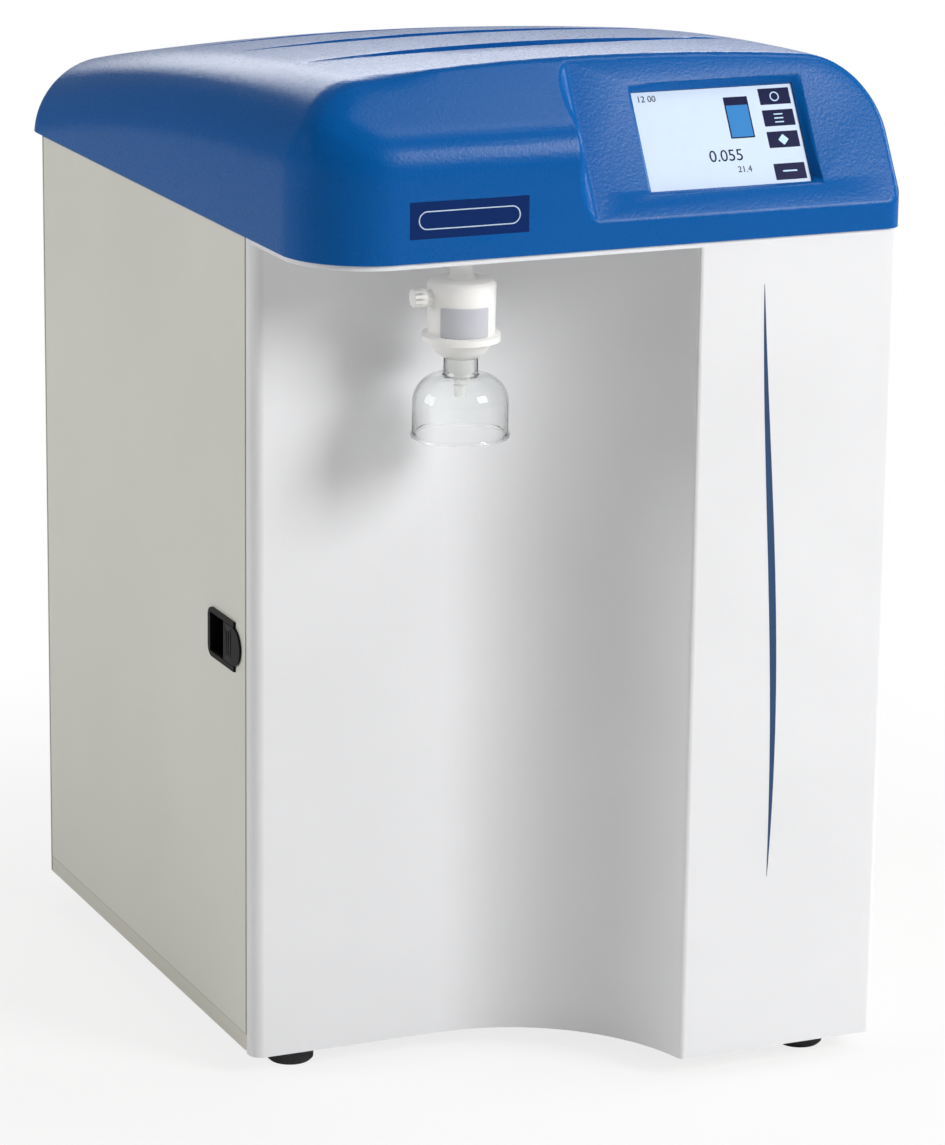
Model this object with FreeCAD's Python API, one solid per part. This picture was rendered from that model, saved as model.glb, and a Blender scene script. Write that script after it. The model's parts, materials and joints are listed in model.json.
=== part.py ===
"""Ultrapure water system: bench cabinet with a side door, dispense recess and touch-screen cover.

Millimetres, +Z up, +X to the right, front towards -Y.
The origin is on the bench surface, under the middle of the whole object.
"""
import FreeCAD
import Part
import math
import os

V = FreeCAD.Vector

# ---------------------------------------------------------------- cabinet
cabinet_width = 350.0
cabinet_depth = 450.0            # front of the column to the back panel
cabinet_height = 475.0           # underside of the tray to the underside of the cover
foot_height = 12.0
foot_radius = 14.0
sheet = 1.2                      # doors and panels
frame_sheet = 1.5                # tray, deck and posts
fold = 13.0                      # folded edge of a door or panel
tray_rise = 11.0                 # height of the tray's side flange
tray_step = 1.0                  # flange inboard of the door's face
flange_corner = 3.0              # soft front corner of each side flange
tray_lip = 12.0                  # inward lip that carries the door's lower pin
vent_count = 8
vent_start = 40.0
vent_pitch = 12.0
post_leg = 20.0
post_depth = 25.0
rear_post_inset = 54.0           # rear posts stand clear of the door's swinging edge
seam = 2.0                       # gap between the fascia's return and a side panel
top_seam = 1.0                   # gap between a side panel and the cover
rear_seam = 4.0                  # gap between a side panel's rear edge and the back face
touch = 0.3                      # clearance between neighbours that stay apart
post_inset = fold + touch        # front posts inboard of the sides

# ---------------------------------------------------------------- moulded front
fascia_wall = 3.0
column_projection = 92.0         # column front to the set-back wall
recess_flat = 115.0              # flat width of the set-back wall
recess_radius = 113.0            # concave quarter between wall and column
side_return = 10.0               # how far the fascia runs back along the sides
fascia_edge = 7.0
column_edge = 3.5
column_corner = 5.0

# ---------------------------------------------------------------- cover
cover_wall = 3.0
cover_height = 99.0              # crown above the cabinet's top
cover_front_lip = 1.5
cover_side_lip = 1.5
cover_rear_overhang = 34.0
cover_corner = 48.0              # upright front-left corner
cover_rear_corner = 18.0
cover_shoulder = 46.0            # round along both top side edges
cover_rear_round = 34.0
crown_fall = 5.15                # middle of the top to the start of a shoulder
arch_fall = 55.3                 # apex of the arch to the rear
arch_apex = -21.5                # apex of the arch, behind the cover's front (negative: in front of it)
brow_height = 62.0               # where the front starts to lean back
brow_round = 30.0
lean_run = 48.5                  # how far the leaning part goes back
lean_top = 97.5
top_edge_round = 10.0
inner_edge_round = 9.0

# ---------------------------------------------------------------- display face
display_tilt = 29.8              # degrees from upright
display_sill = 15.0              # height of the band below the display face
display_left = 158.5             # from the cover's left side
display_hollow = 8.0             # round between the face and the bulge beside it
display_rim = 6.0                # soft rim round the face
screen_width = 99.0
screen_height = 58.0
screen_depth = 5.0
screen_bevel = 4.0
screen_lip = 1.2
screen_from_left = 202.5         # cover's left side to the screen's left edge
screen_up_face = 46.0            # sill to the screen's middle, along the face
glass_margin = 3.0
glass_thickness = 1.5
lcd_thickness = 6.0
board_gap = 4.0
board_thickness = 1.6

# ---------------------------------------------------------------- scoops on the top
scoop_depth = 5.0
scoop_length = 26.0              # front to back
scoop_places = (131.0, 231.0, 329.0)   # riser positions behind the cover's front
scoop_wall = 2.5

# ---------------------------------------------------------------- name strip on the cover
strip_width = 69.5
strip_height = 20.0
strip_thickness = 0.6
strip_from_left = 54.5
strip_base = 13.0

# ---------------------------------------------------------------- door, hinge and latch
hinge_inset = 7.0                # pivot behind the door's face
hinge_from_rear = 21.0           # pivot to the door's rear edge
hinge_pin_radius = 2.5
hinge_bush_radius = 4.5
hinge_fit = 0.05
latch_length = 41.0
latch_height = 29.0
latch_rise = 211.5               # door's lower edge to the latch's lower edge
latch_from_edge = 14.5
latch_depth = 12.0
latch_rim = 2.0
latch_wall = 1.5
latch_proud = 1.5
latch_corner = 6.0
latch_travel = 8.0
thumb_side = 3.3                 # rim's edge to the thumb piece
thumb_length = 16.0
tongue_height = 14.0
tongue_thickness = 4.0
tongue_inset = 4.0
tongue_reach = 1.4               # past the door's front edge, into the seam
magnet_height = 22.0
magnet_depth = 8.0
magnet_rise = 45.0

# ---------------------------------------------------------------- filter and bell
outlet_from_left = 102.5
outlet_from_wall = 50.0
neck_radius = 6.4
neck_length = 16.0
filter_radius = 19.0
filter_body = 30.0
filter_flange_radius = 21.6
filter_flange = 4.0
filter_wall = 1.8
dome_height = 9.5
barb_radius = 4.0
barb_length = 22.0
vent_drop = 4.0
vent_reach = 29.0
vent_radius = 2.6
vent_cap_radius = 5.0
vent_cap_length = 7.0
bell_radius = 26.5
bell_collar = 9.5
bell_collar_height = 9.0
bell_shoulder = 16.0
bell_skirt = 19.0
bell_wall = 1.6
bell_lip = 0.8

# ---------------------------------------------------------------- inside
plate_from_left = 136.0
cartridge_radius = 44.0
cartridge_length = 300.0
cartridge_rise = 26.0
grip_count = 24                  # flutes round a cartridge's foot
grip_radius = 1.6
cartridge_places = (82.0, 182.0)   # behind the set-back wall
cartridge_from_left = 76.0
tube_way = 22.0                  # crossing tube, behind the set-back wall
plug_radius = 17.0
plug_length = 16.0
head_radius = 34.0
head_height = 30.0
chamber_radius = 24.0
chamber_length = 280.0
chamber_place = 272.0
chamber_cap = 18.0
chamber_port_drop = 20.7         # side port below the chamber's upper end
pump_radius = 26.0
pump_length = 80.0
pump_from_plate = 104.0
pump_from_back = 160.0           # back face to the joint between head and motor
pump_drop = 8.0                  # below the rear ports
pump_head_half = 27.0
supply_from_wall = 60.0          # set-back wall to the power supply
supply_depth = 160.0             # front to back
supply_thickness = 41.5
supply_gap = 1.5
board_from_wall = 50.0
main_board_depth = 180.0
board_standoff = 8.0
valve_from_back = 76.0
valve_drop = 10.0                # below the rear ports
supply_drop = 45.0               # deck to the power supply
supply_height = 100.0
board_spacing = 20.0             # power supply to the main board
main_board_height = 120.0
tube_radius = 3.175
tube_bore = 2.1

# ---------------------------------------------------------------- rear services
port_names = ("feed_water", "reservoir", "drain")
port_from_plate = 39.0           # mounting plate to the first port
port_pitch = 35.0
port_height = 72.0
port_inner = 24.0
port_body_radius = 9.0
port_reach = 18.0
port_tube = 3.2
collet_radius = 5.2
collet_flange = 7.5
collet_travel = 1.5
inlet_width = 28.0
inlet_height = 48.0
inlet_place = 85.0
inlet_rise = 60.0
socket_width = 24.5
socket_height = 17.0
socket_deep = 17.0
rocker_throw = 16.0
switch_width = 15.0
switch_height = 21.0
screw_radius = 1.9
screw_head_radius = 3.8
screw_head = 2.2

# ---------------------------------------------------------------- derived planes
left = -cabinet_width / 2
right = cabinet_width / 2
overall_depth = cover_front_lip + cabinet_depth + cover_rear_overhang
cover_front = -overall_depth / 2
cover_rear = overall_depth / 2
column_front = cover_front + cover_front_lip
recess_wall = column_front + column_projection
back = column_front + cabinet_depth
floor = foot_height
top = floor + cabinet_height
cover_left = left - cover_side_lip
cover_right = right + cover_side_lip
side_front = recess_wall + side_return + seam
side_rear = back - rear_seam
side_low = floor + tray_rise + touch
side_high = top - top_seam
arc_centre = V(left + recess_flat, recess_wall - recess_radius, 0)
plate_x = left + plate_from_left
port_places = [plate_x + port_from_plate - port_pitch * i for i in range(len(port_names))]
cover_width = cover_right - cover_left
crown_half = cover_width / 2 - cover_shoulder
crown_radius = (crown_half ** 2 + crown_fall ** 2) / (2 * crown_fall) + cover_shoulder
arch_run = overall_depth - arch_apex
arch_radius = (arch_run ** 2 + arch_fall ** 2) / (2 * arch_fall)
dispense_valve_place = V(left + outlet_from_left, recess_wall + 30, top + frame_sheet)
cell_place = V(left + outlet_from_left, recess_wall + 96, top + frame_sheet)
outlet = V(left + outlet_from_left, recess_wall - outlet_from_wall, 0)
hinge = V(left + hinge_inset, side_rear - hinge_from_rear, 0)
latch_y = side_front + latch_from_edge
latch_z = side_low + latch_rise
latch_mid = latch_z + latch_height / 2
filter_top = top - fascia_wall - touch
filter_shoulder = filter_top - neck_length
filter_seam = filter_shoulder - filter_body
dome_base = filter_seam - filter_flange - dome_height


# ---------------------------------------------------------------- helpers
def block(x, y, z):
    """Box between two values on each axis."""
    return Part.makeBox(x[1] - x[0], y[1] - y[0], z[1] - z[0], V(x[0], y[0], z[0]))


def rod(radius, start, end):
    """Solid cylinder from one point to another."""
    return Part.makeCylinder(radius, (end - start).Length, start, end - start)


def ring(outer, inner, start, end):
    """Hollow cylinder from one point to another."""
    return rod(outer, start, end).cut(rod(inner, start, end))


def turned(profile, centre):
    """Solid of revolution about an upright axis; profile is a list of (radius, height)."""
    points = [V(centre.x + r, centre.y, z) for r, z in profile]
    face = Part.Face(Part.makePolygon(points + points[:1]))
    return face.revolve(V(centre.x, centre.y, 0), V(0, 0, 1), 360)


def soften(solid, radius, wanted):
    """Round the edges whose bounding box satisfies a test."""
    edges = [edge for edge in solid.Edges if wanted(edge.BoundBox)]
    return solid.makeFillet(radius, edges)


def chamfer(solid, size, wanted):
    """Break the edges whose bounding box satisfies a test."""
    edges = [edge for edge in solid.Edges if wanted(edge.BoundBox)]
    return solid.makeChamfer(size, edges)


def near(a, b):
    return abs(a - b) < 0.01


def is_upright(box):
    return near(box.XLength, 0) and near(box.YLength, 0)


def is_along_x(box):
    return near(box.YLength, 0) and near(box.ZLength, 0)


def is_along_y(box):
    return near(box.XLength, 0) and near(box.ZLength, 0)


def upright_at(x, y):
    """Test for an upright edge at a place in plan."""
    return lambda box: is_upright(box) and near(box.XMin, x) and near(box.YMin, y)


def along_x_at(y, z):
    """Test for an edge along X at a place seen from the side."""
    return lambda box: is_along_x(box) and near(box.YMin, y) and near(box.ZMin, z)


def joined(pieces):
    """One solid made of pieces that touch or cross."""
    return pieces[0].multiFuse(pieces[1:]).removeSplitter()


def without(solid, tools):
    """Solid with every tool taken out of it."""
    for tool in tools:
        solid = solid.cut(tool)
    return solid


def hexagon_turns():
    """Angles of a hexagon's corners, with the first one again at the end."""
    return [a * math.pi / 3 for a in range(7)]


def tube_sockets(middle, along, reach, sink=8.0):
    """Sockets for tubes at both ends of a pipe that reaches this far along a direction."""
    return [rod(tube_radius, middle + along * side * (reach - sink), middle + along * side * (reach + 1))
            for side in (-1, 1)]


def bent_tube(points, bend, radius, bore):
    """Tube along straight runs joined by tangent arcs."""
    edges = []
    start = points[0]
    for before, corner, after in zip(points, points[1:], points[2:]):
        into = (corner - before).normalize()
        out = (after - corner).normalize()
        turn = into.getAngle(out)
        setback = bend * math.tan(turn / 2)
        first = corner - into * setback
        last = corner + out * setback
        inward = (out - into).normalize()
        middle = corner + inward * (bend / math.cos(turn / 2) - bend)
        edges.append(Part.makeLine(start, first))
        edges.append(Part.Arc(first, middle, last).toShape())
        start = last
    edges.append(Part.makeLine(start, points[-1]))
    path = Part.Wire(edges)
    direction = points[1] - points[0]

    def swept(size):
        circle = Part.Wire(Part.makeCircle(size, points[0], direction))
        return path.makePipeShell([circle], True, False)
    return swept(radius).cut(swept(bore))


parts = {}


def keep(name, *solids):
    """File a node as one solid or a group of separate solids."""
    parts[name] = solids[0] if len(solids) == 1 else Part.makeCompound(list(solids))


# ---------------------------------------------------------------- fascia
def fascia_region(inset, low, high, rear):
    """Upright prism of the fascia's plan, moved in by inset."""
    reach = recess_radius + inset
    step = column_front + inset - arc_centre.y
    end = V(arc_centre.x + math.sqrt(reach ** 2 - step ** 2), column_front + inset, low)
    start = V(arc_centre.x, recess_wall + inset, low)
    half = (math.pi / 2 + math.asin(step / reach)) / 2
    middle = V(arc_centre.x + reach * math.cos(half), arc_centre.y + reach * math.sin(half), low)
    corners = [V(left + inset, rear, low), V(left + inset, recess_wall + inset, low), start]
    corners_after = [end, V(right - inset, column_front + inset, low), V(right - inset, rear, low)]
    wire = Part.Wire([
        Part.makeLine(corners[0], corners[1]),
        Part.makeLine(corners[1], corners[2]),
        Part.Arc(start, middle, end).toShape(),
        Part.makeLine(corners_after[0], corners_after[1]),
        Part.makeLine(corners_after[1], corners_after[2]),
        Part.makeLine(corners_after[2], corners[0])])
    solid = Part.Face(wire).extrude(V(0, 0, high - low))
    solid = soften(solid, fascia_edge - inset, upright_at(left + inset, recess_wall + inset))
    solid = soften(solid, max(column_edge - inset, 0.5), upright_at(end.x, end.y))
    return soften(solid, column_corner - inset, upright_at(right - inset, column_front + inset))


def canopy():
    """Plate that closes the recess under the cover."""
    reach = arc_centre.x + recess_radius
    plate = block((left, reach), (column_front, recess_wall + fascia_wall), (top - fascia_wall, top))
    return soften(plate, cover_corner - cover_front_lip, upright_at(left, column_front))


def build_fascia():
    rear = recess_wall + side_return
    shell = fascia_region(0, floor, top, rear)
    hollow = fascia_region(fascia_wall, floor - 1, top + 1, rear + 1)
    body = joined([shell, canopy()]).cut(hollow)
    shank = neck_radius - filter_wall
    return body.cut(rod(shank + hinge_fit, outlet + V(0, 0, floor), outlet + V(0, 0, top + 1)))


# ---------------------------------------------------------------- tray, deck, posts and panels
def foot_centres():
    """Centres of the four feet in plan."""
    side = 32.0
    front_left = 24.0
    front_right = 30.0
    rear = 40.0
    return [V(left + side, recess_wall + front_left, 0), V(right - side, column_front + front_right, 0),
            V(left + side, back - rear, 0), V(right - side, back - rear, 0)]


def build_tray():
    """Folded tray: floor plate, side flanges with an inward lip, and a rear flange."""
    plate = fascia_region(fascia_wall + touch, floor, floor + frame_sheet, back - sheet)
    high = floor + tray_rise
    run = (side_front, back - sheet)
    pieces = [plate]
    for face, inward in ((left + tray_step, 1), (right - tray_step, -1)):
        flange = sorted((face, face + inward * frame_sheet))
        reach = sorted((face, face + inward * tray_lip))
        side = block(flange, run, (floor, high))
        pieces.append(soften(side, flange_corner, along_x_at(run[0], floor)))
        pieces.append(block(reach, run, (high - frame_sheet, high)))
        pieces.append(block(reach, (run[0] + flange_corner, run[1]), (floor, floor + frame_sheet)))
    rear = (back - sheet - frame_sheet, back - sheet)
    between = right - rear_post_inset - touch
    pieces.append(block((-between, between), rear, (floor, high)))
    tray = joined(pieces)
    tools = [rod(screw_radius + hinge_fit, centre + V(0, 0, floor - 1), centre + V(0, 0, floor + 3))
             for centre in foot_centres()]
    tools.append(rod(hinge_pin_radius + hinge_fit, hinge + V(0, 0, high - 3), hinge + V(0, 0, high + 1)))
    for i in range(vent_count):
        x = vent_start + i * vent_pitch
        tools.append(block((x, x + vent_pitch / 2), (back - 120, back - 40), (floor - 1, floor + 3)))
    return without(tray, tools)


def post(x, y, x_leg, y_leg):
    """Angle post with its corner at x, y; the signs of the legs give their directions."""
    low = floor + frame_sheet
    xs = sorted((x, x + x_leg))
    ys = sorted((y, y + y_leg))
    thin_x = sorted((x, x + math.copysign(frame_sheet, x_leg)))
    thin_y = sorted((y, y + math.copysign(frame_sheet, y_leg)))
    return joined([block(xs, thin_y, (low, top)), block(thin_x, ys, (low, top))])


def rear_post(side):
    """Rear post with its screw holes; side is -1 on the left and 1 on the right."""
    angle = post(side * (right - rear_post_inset), back - sheet, side * post_leg, -post_depth)
    holes = [rod(screw_radius + hinge_fit, V(x, back - 5, z), V(x, back, z)) for x, z in back_screws()]
    return without(angle, holes)


def build_deck():
    """Shelf under the cover that carries the electronics."""
    side = cover_wall - cover_side_lip + touch
    deck = block((left + side, right - side), (recess_wall, back), (top, top + frame_sheet))
    holes = [rod(hinge_pin_radius + hinge_fit, hinge + V(0, 0, top - 1), hinge + V(0, 0, top + 5))]
    holes += [rod(screw_radius, c + V(0, 0, top - 1), c + V(0, 0, top + 5)) for c in boss_centres()]
    riser = chamber_outlet()
    holes.append(block((riser.x - 6, riser.x + 6), (riser.y - 12, riser.y + 6), (top - 1, top + 3)))
    holes.append(block((right - 150, right - 60), (recess_wall + 20, recess_wall + 60), (top - 1, top + 3)))
    return without(deck, holes)


def folded_panel(x_face, inward, low, high):
    """Side panel: a sheet with four folded edges and open corners."""
    skin = sorted((x_face, x_face + inward * sheet))
    deep = sorted((x_face, x_face + inward * fold))
    relief = 2.0
    pieces = [block(skin, (side_front, side_rear), (low, high))]
    for y in (side_front, side_rear - sheet):
        pieces.append(block(deep, (y, y + sheet), (low + relief, high - relief)))
    for z in (low, high - sheet):
        pieces.append(block(deep, (side_front + relief, side_rear - relief), (z, z + sheet)))
    return joined(pieces)


def build_door():
    panel = folded_panel(left, 1, side_low, side_high)
    tools = [rod(hinge_bush_radius, hinge + V(0, 0, side_low - 1), hinge + V(0, 0, side_low + 3)),
             rod(hinge_bush_radius, hinge + V(0, 0, side_high - 3), hinge + V(0, 0, side_high + 1)),
             block((left - 1, left + 5), (latch_y + latch_rim, latch_y + latch_length - latch_rim),
                   (latch_z + latch_rim, latch_z + latch_height - latch_rim)),
             tongue(touch)]
    return without(panel, tools)


def build_right_panel():
    return folded_panel(right, -1, floor + tray_rise, side_high)


# ---------------------------------------------------------------- hinge and latch
def hinge_pins():
    """Lower pin up through the tray's lip, upper pin down through the deck."""
    lip = floor + tray_rise
    under = lip - frame_sheet
    low = joined([rod(hinge_pin_radius, hinge + V(0, 0, under - 1), hinge + V(0, 0, side_low + 7)),
                  rod(hinge_pin_radius + 2, hinge + V(0, 0, under - 2), hinge + V(0, 0, under))])
    over = top + frame_sheet
    high = joined([rod(hinge_pin_radius, hinge + V(0, 0, side_high - 8), hinge + V(0, 0, over + 1)),
                   rod(hinge_pin_radius + 2, hinge + V(0, 0, over), hinge + V(0, 0, over + 2))])
    return low, high


def hinge_bushes():
    """Flanged bushes pressed into the door's lower and upper folds."""
    bore = hinge_pin_radius + hinge_fit
    flange = hinge_bush_radius + 0.9
    low = side_low + sheet
    high = side_high - sheet
    lower = joined([ring(hinge_bush_radius, bore, hinge + V(0, 0, side_low), hinge + V(0, 0, low + 7)),
                    ring(flange, bore, hinge + V(0, 0, low), hinge + V(0, 0, low + 1.5))])
    upper = joined([ring(hinge_bush_radius, bore, hinge + V(0, 0, high - 7), hinge + V(0, 0, side_high)),
                    ring(flange, bore, hinge + V(0, 0, high - 1.5), hinge + V(0, 0, high))])
    return lower, upper


def tongue(clearance):
    """Flat tongue that slides through the door's front fold."""
    half = tongue_height / 2 + clearance
    x = left + tongue_inset
    run = (side_front - tongue_reach, latch_y + thumb_length - 4)
    across = (x - clearance, x + tongue_thickness + clearance)
    return block(across, run, (latch_mid - half, latch_mid + half))


def build_latch_body():
    """Rim open at the front, with a cup behind it for thumb and slide."""
    y = latch_y
    z = latch_z
    rim = block((left - latch_proud, left), (y, y + latch_length), (z, z + latch_height))
    for height in (z, z + latch_height):
        rim = soften(rim, latch_corner, along_x_at(y + latch_length, height))
    inset = latch_rim + touch
    cup = block((left, left + latch_depth), (y + inset, y + latch_length - inset),
                (z + inset, z + latch_height - inset))
    solid = joined([rim, cup])
    deep = inset + latch_wall
    hollow = block((left - 5, left + latch_depth - latch_wall), (y + deep, y + latch_length - deep),
                   (z + deep, z + latch_height - deep))
    mouth = block((left - 5, left), (y - 1, y + latch_length - deep),
                  (z + thumb_side - touch, z + latch_height - thumb_side + touch))
    return without(solid, [hollow, mouth, tongue(touch)])


def build_latch_slide():
    """D-shaped thumb piece, its stem and the tongue, in one moulding."""
    half = latch_height / 2 - thumb_side
    y = latch_y + latch_rim
    x = (left - latch_proud, left - touch)
    pad = block(x, (y, latch_y + thumb_length), (latch_mid - half, latch_mid + half))
    nose = rod(half, V(x[0], y, latch_mid), V(x[1], y, latch_mid))
    stem = block((left - touch, left + tongue_inset + tongue_thickness),
                 (latch_y + 5, latch_y + thumb_length - 4), (latch_mid - half + 2.5, latch_mid + half - 2.5))
    ribs = [block((x[0], x[0] + 0.6), (y + 1.5 + 3 * i, y + 2.5 + 3 * i), (latch_mid - 7, latch_mid + 7))
            for i in range(3)]
    return without(joined([pad, nose, stem, tongue(0)]), ribs)


def build_magnet():
    """Magnetic catch on the front post, just behind the door's skin."""
    y = side_front + sheet + 0.8
    z = latch_z + magnet_rise
    return block((left + sheet + touch, left + post_inset), (y, y + magnet_depth), (z, z + magnet_height))


# ---------------------------------------------------------------- dispense outlet
def arc_profile(path):
    """Closed face in the XZ plane from points and three-point arcs, heights along Z."""
    edges = []
    for piece in path:
        if len(piece) == 2:
            edges.append(Part.makeLine(*piece))
        else:
            edges.append(Part.Arc(*piece).toShape())
    return Part.Face(Part.Wire(edges))


def build_outlet_fitting():
    """Bulkhead shank through the canopy, with a nut and an elbow above it."""
    shank = neck_radius - filter_wall
    corners = [outlet + V(10 * math.cos(turn), 10 * math.sin(turn), top) for turn in hexagon_turns()]
    nut = Part.Face(Part.makePolygon(corners)).extrude(V(0, 0, 5))
    axis = outlet + V(0, 0, dispense_valve_place.z + 10)
    body = joined([rod(shank, outlet + V(0, 0, filter_shoulder + 2), axis + V(0, 0, 8)), nut,
                   rod(7, axis - V(0, 0, 4), axis + V(0, 0, 8)), rod(6, axis, axis + V(0, 16, 0))])
    down = rod(tube_bore, outlet + V(0, 0, filter_shoulder), axis)
    socket = rod(tube_radius, axis + V(0, 8, 0), axis + V(0, 17, 0))
    return without(body, [down, rod(tube_bore, axis, axis + V(0, 9, 0)), socket])


def build_filter_upper():
    r = filter_radius
    w = filter_wall
    seam_z = filter_seam
    s = filter_shoulder
    outer = [(neck_radius - w + hinge_fit, filter_top), (neck_radius, filter_top), (neck_radius, s + 3),
             (neck_radius + 1.5, s), (r - 2.5, s), (r, s - 2.5), (r - 0.5, seam_z),
             (filter_flange_radius, seam_z),
             (filter_flange_radius, seam_z - filter_flange / 2), (r - w, seam_z - filter_flange / 2),
             (r - w, s - w - 1), (r - w - 2, s - w), (neck_radius - w + hinge_fit, s - w)]
    body = turned(outer, outlet)
    z = s - vent_drop - vent_cap_radius
    barrel = rod(vent_radius, V(outlet.x - r + w, outlet.y, z), V(outlet.x - vent_reach + 2, outlet.y, z))
    boss = rod(vent_radius + 1.6, V(outlet.x - r + 1, outlet.y, z), V(outlet.x - r - 2.5, outlet.y, z))
    bore = rod(1.2, V(outlet.x - r + w + 3, outlet.y, z), V(outlet.x - vent_reach, outlet.y, z))
    return joined([body, barrel, boss]).cut(bore)


def build_filter_lower():
    r = filter_radius
    w = filter_wall
    z = filter_seam - filter_flange / 2
    low = z - filter_flange / 2
    neck = bell_collar - bell_wall - hinge_fit
    outer = [(0, dome_base + 4), (0, dome_base + 2), (1.4, dome_base + 2), (1.4, dome_base - barb_length),
             (barb_radius - 1, dome_base - barb_length), (barb_radius, dome_base - barb_length + 7),
             (barb_radius - 0.6, dome_base - barb_length + 7),
             (barb_radius, dome_base - bell_collar_height + 1),
             (neck, dome_base - bell_collar_height + 1), (neck, dome_base), (bell_collar, dome_base),
             (r - 5, dome_base + 3), (r - 0.5, low), (filter_flange_radius, low), (filter_flange_radius, z),
             (r - w, z),
             (r - w, low - 0.5), (r - 7, dome_base + 4.5), (5, dome_base + 4)]
    return turned(outer, outlet)


def build_filter_element():
    """Pleated membrane cylinder between its end caps."""
    low = dome_base + 4.5 + 2
    high = filter_shoulder - filter_wall - 1.5
    cap = 3.0
    radius = filter_radius - filter_wall - 3
    return joined([rod(radius - 1, outlet + V(0, 0, low), outlet + V(0, 0, high)),
                   rod(radius, outlet + V(0, 0, low), outlet + V(0, 0, low + cap)),
                   rod(radius, outlet + V(0, 0, high - cap), outlet + V(0, 0, high))])


def build_vent_cap():
    z = filter_shoulder - vent_drop - vent_cap_radius
    end = outlet.x - vent_reach
    cap = rod(vent_cap_radius, V(end, outlet.y, z), V(end + vent_cap_length, outlet.y, z))
    knurls = [rod(0.7, V(end - 1, outlet.y + (vent_cap_radius + 0.2) * math.cos(a * math.pi / 5),
                         z + (vent_cap_radius + 0.2) * math.sin(a * math.pi / 5)),
                  V(end + 4, outlet.y + (vent_cap_radius + 0.2) * math.cos(a * math.pi / 5),
                    z + (vent_cap_radius + 0.2) * math.sin(a * math.pi / 5))) for a in range(10)]
    bore = rod(vent_radius + 0.08, V(end + 1.5, outlet.y, z), V(end + vent_cap_length + 1, outlet.y, z))
    return without(cap, [bore] + knurls)


def bell_line(inset):
    """Side of the bell from collar to rim, moved in by inset: straight, shoulder, upright skirt."""
    z = dome_base - touch - bell_collar_height - inset
    rim = bell_radius - inset
    radius = bell_shoulder - inset
    centre = V(rim - radius, 0, z - radius)
    half = math.sqrt(0.5) * radius
    low = dome_base - touch - bell_collar_height - bell_shoulder - bell_skirt
    return V(centre.x, 0, z), V(centre.x + half, 0, centre.z + half), V(rim, 0, centre.z), V(rim, 0, low)


def build_bell():
    """Clear bell: collar, rounded shoulder, upright skirt and a thicker rim."""
    high = dome_base - touch
    inner = bell_collar - bell_wall
    crown, bend, side, rim = bell_line(0)
    crown_in, bend_in, side_in, rim_in = bell_line(bell_wall)
    lip = V(rim.x + bell_lip, 0, rim.z)
    lip_top = V(lip.x, 0, rim.z + bell_wall)
    neck = V(rim.x, 0, lip_top.z + bell_lip)
    face = arc_profile([(V(inner, 0, high), V(bell_collar, 0, high)),
                        (V(bell_collar, 0, high), V(bell_collar, 0, crown.z)),
                        (V(bell_collar, 0, crown.z), crown), (crown, bend, side), (side, neck),
                        (neck, lip_top), (lip_top, lip), (lip, rim_in), (rim_in, side_in),
                        (side_in, bend_in, crown_in), (crown_in, V(inner, 0, crown_in.z)),
                        (V(inner, 0, crown_in.z), V(inner, 0, high))])
    solid = face.revolve(V(0, 0, 0), V(0, 0, 1), 360)
    solid.translate(outlet)
    return solid


# ---------------------------------------------------------------- cover
def arched_form(inset):
    """The cover's section, with a crown and round shoulders, swept along the top's arch."""
    apex = cover_front + arch_apex
    high = top + cover_height - inset
    low = top - 150
    r = cover_shoulder - inset
    x_in = cover_right - inset - r
    crown_z = high - crown_radius
    z_in = crown_z + math.sqrt((crown_radius - r) ** 2 - x_in ** 2)
    ux = x_in / (crown_radius - r)
    uz = (z_in - crown_z) / (crown_radius - r)
    diagonal = math.sqrt(0.5) * r
    side = cover_right - inset

    def at(x, z):
        return V(x, apex, z)
    meet_x = x_in + ux * r
    meet_z = z_in + uz * r
    wire = Part.Wire([
        Part.makeLine(at(-side, low), at(-side, z_in)),
        Part.Arc(at(-side, z_in), at(-x_in - diagonal, z_in + diagonal), at(-meet_x, meet_z)).toShape(),
        Part.Arc(at(-meet_x, meet_z), at(0, high), at(meet_x, meet_z)).toShape(),
        Part.Arc(at(meet_x, meet_z), at(x_in + diagonal, z_in + diagonal), at(side, z_in)).toShape(),
        Part.makeLine(at(side, z_in), at(side, low)),
        Part.makeLine(at(side, low), at(-side, low))])
    turn = math.degrees(math.asin((overall_depth + 80) / arch_radius))
    centre = V(0, apex, top + cover_height - arch_radius)
    return Part.Face(wire).revolve(centre, V(1, 0, 0), -turn)


def plan_form(inset, low):
    """Upright prism of the cover's plan with its round corners."""
    x = (cover_left + inset, cover_right - inset)
    y = (cover_front + inset, cover_rear - inset)
    form = block(x, y, (low, top + cover_height + 20))
    form = soften(form, cover_corner - inset, upright_at(x[0], y[0]))
    form = soften(form, max(column_corner - inset, 1.5), upright_at(x[1], y[0]))
    form = soften(form, cover_rear_corner - inset, upright_at(x[0], y[1]))
    return soften(form, cover_rear_corner - inset, upright_at(x[1], y[1]))


def front_form(inset, low):
    """Side profile: upright front, soft brow, face that leans back to the top edge."""
    rise = lean_top - brow_height
    length = math.hypot(lean_run, rise)
    shift = V(0, rise / length * inset, -lean_run / length * inset)
    slope = V(0, lean_run / length, rise / length)
    brow = V(0, cover_front, top + brow_height) + shift
    start = brow + slope * ((cover_front + inset - brow.y) / slope.y)
    end = start + slope * (length * 1.5)
    rear = cover_rear + 10
    outline = Part.makePolygon([V(cover_left, p.y, p.z) for p in (
        V(0, start.y, low), start, end, V(0, rear, end.z), V(0, rear, low), V(0, start.y, low))])
    form = Part.Face(outline).extrude(V(cover_right - cover_left, 0, 0))
    return soften(form, brow_round - inset,
                  lambda box: box.XLength > 100 and near(box.ZMin, start.z) and near(box.YMax, start.y))


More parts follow.
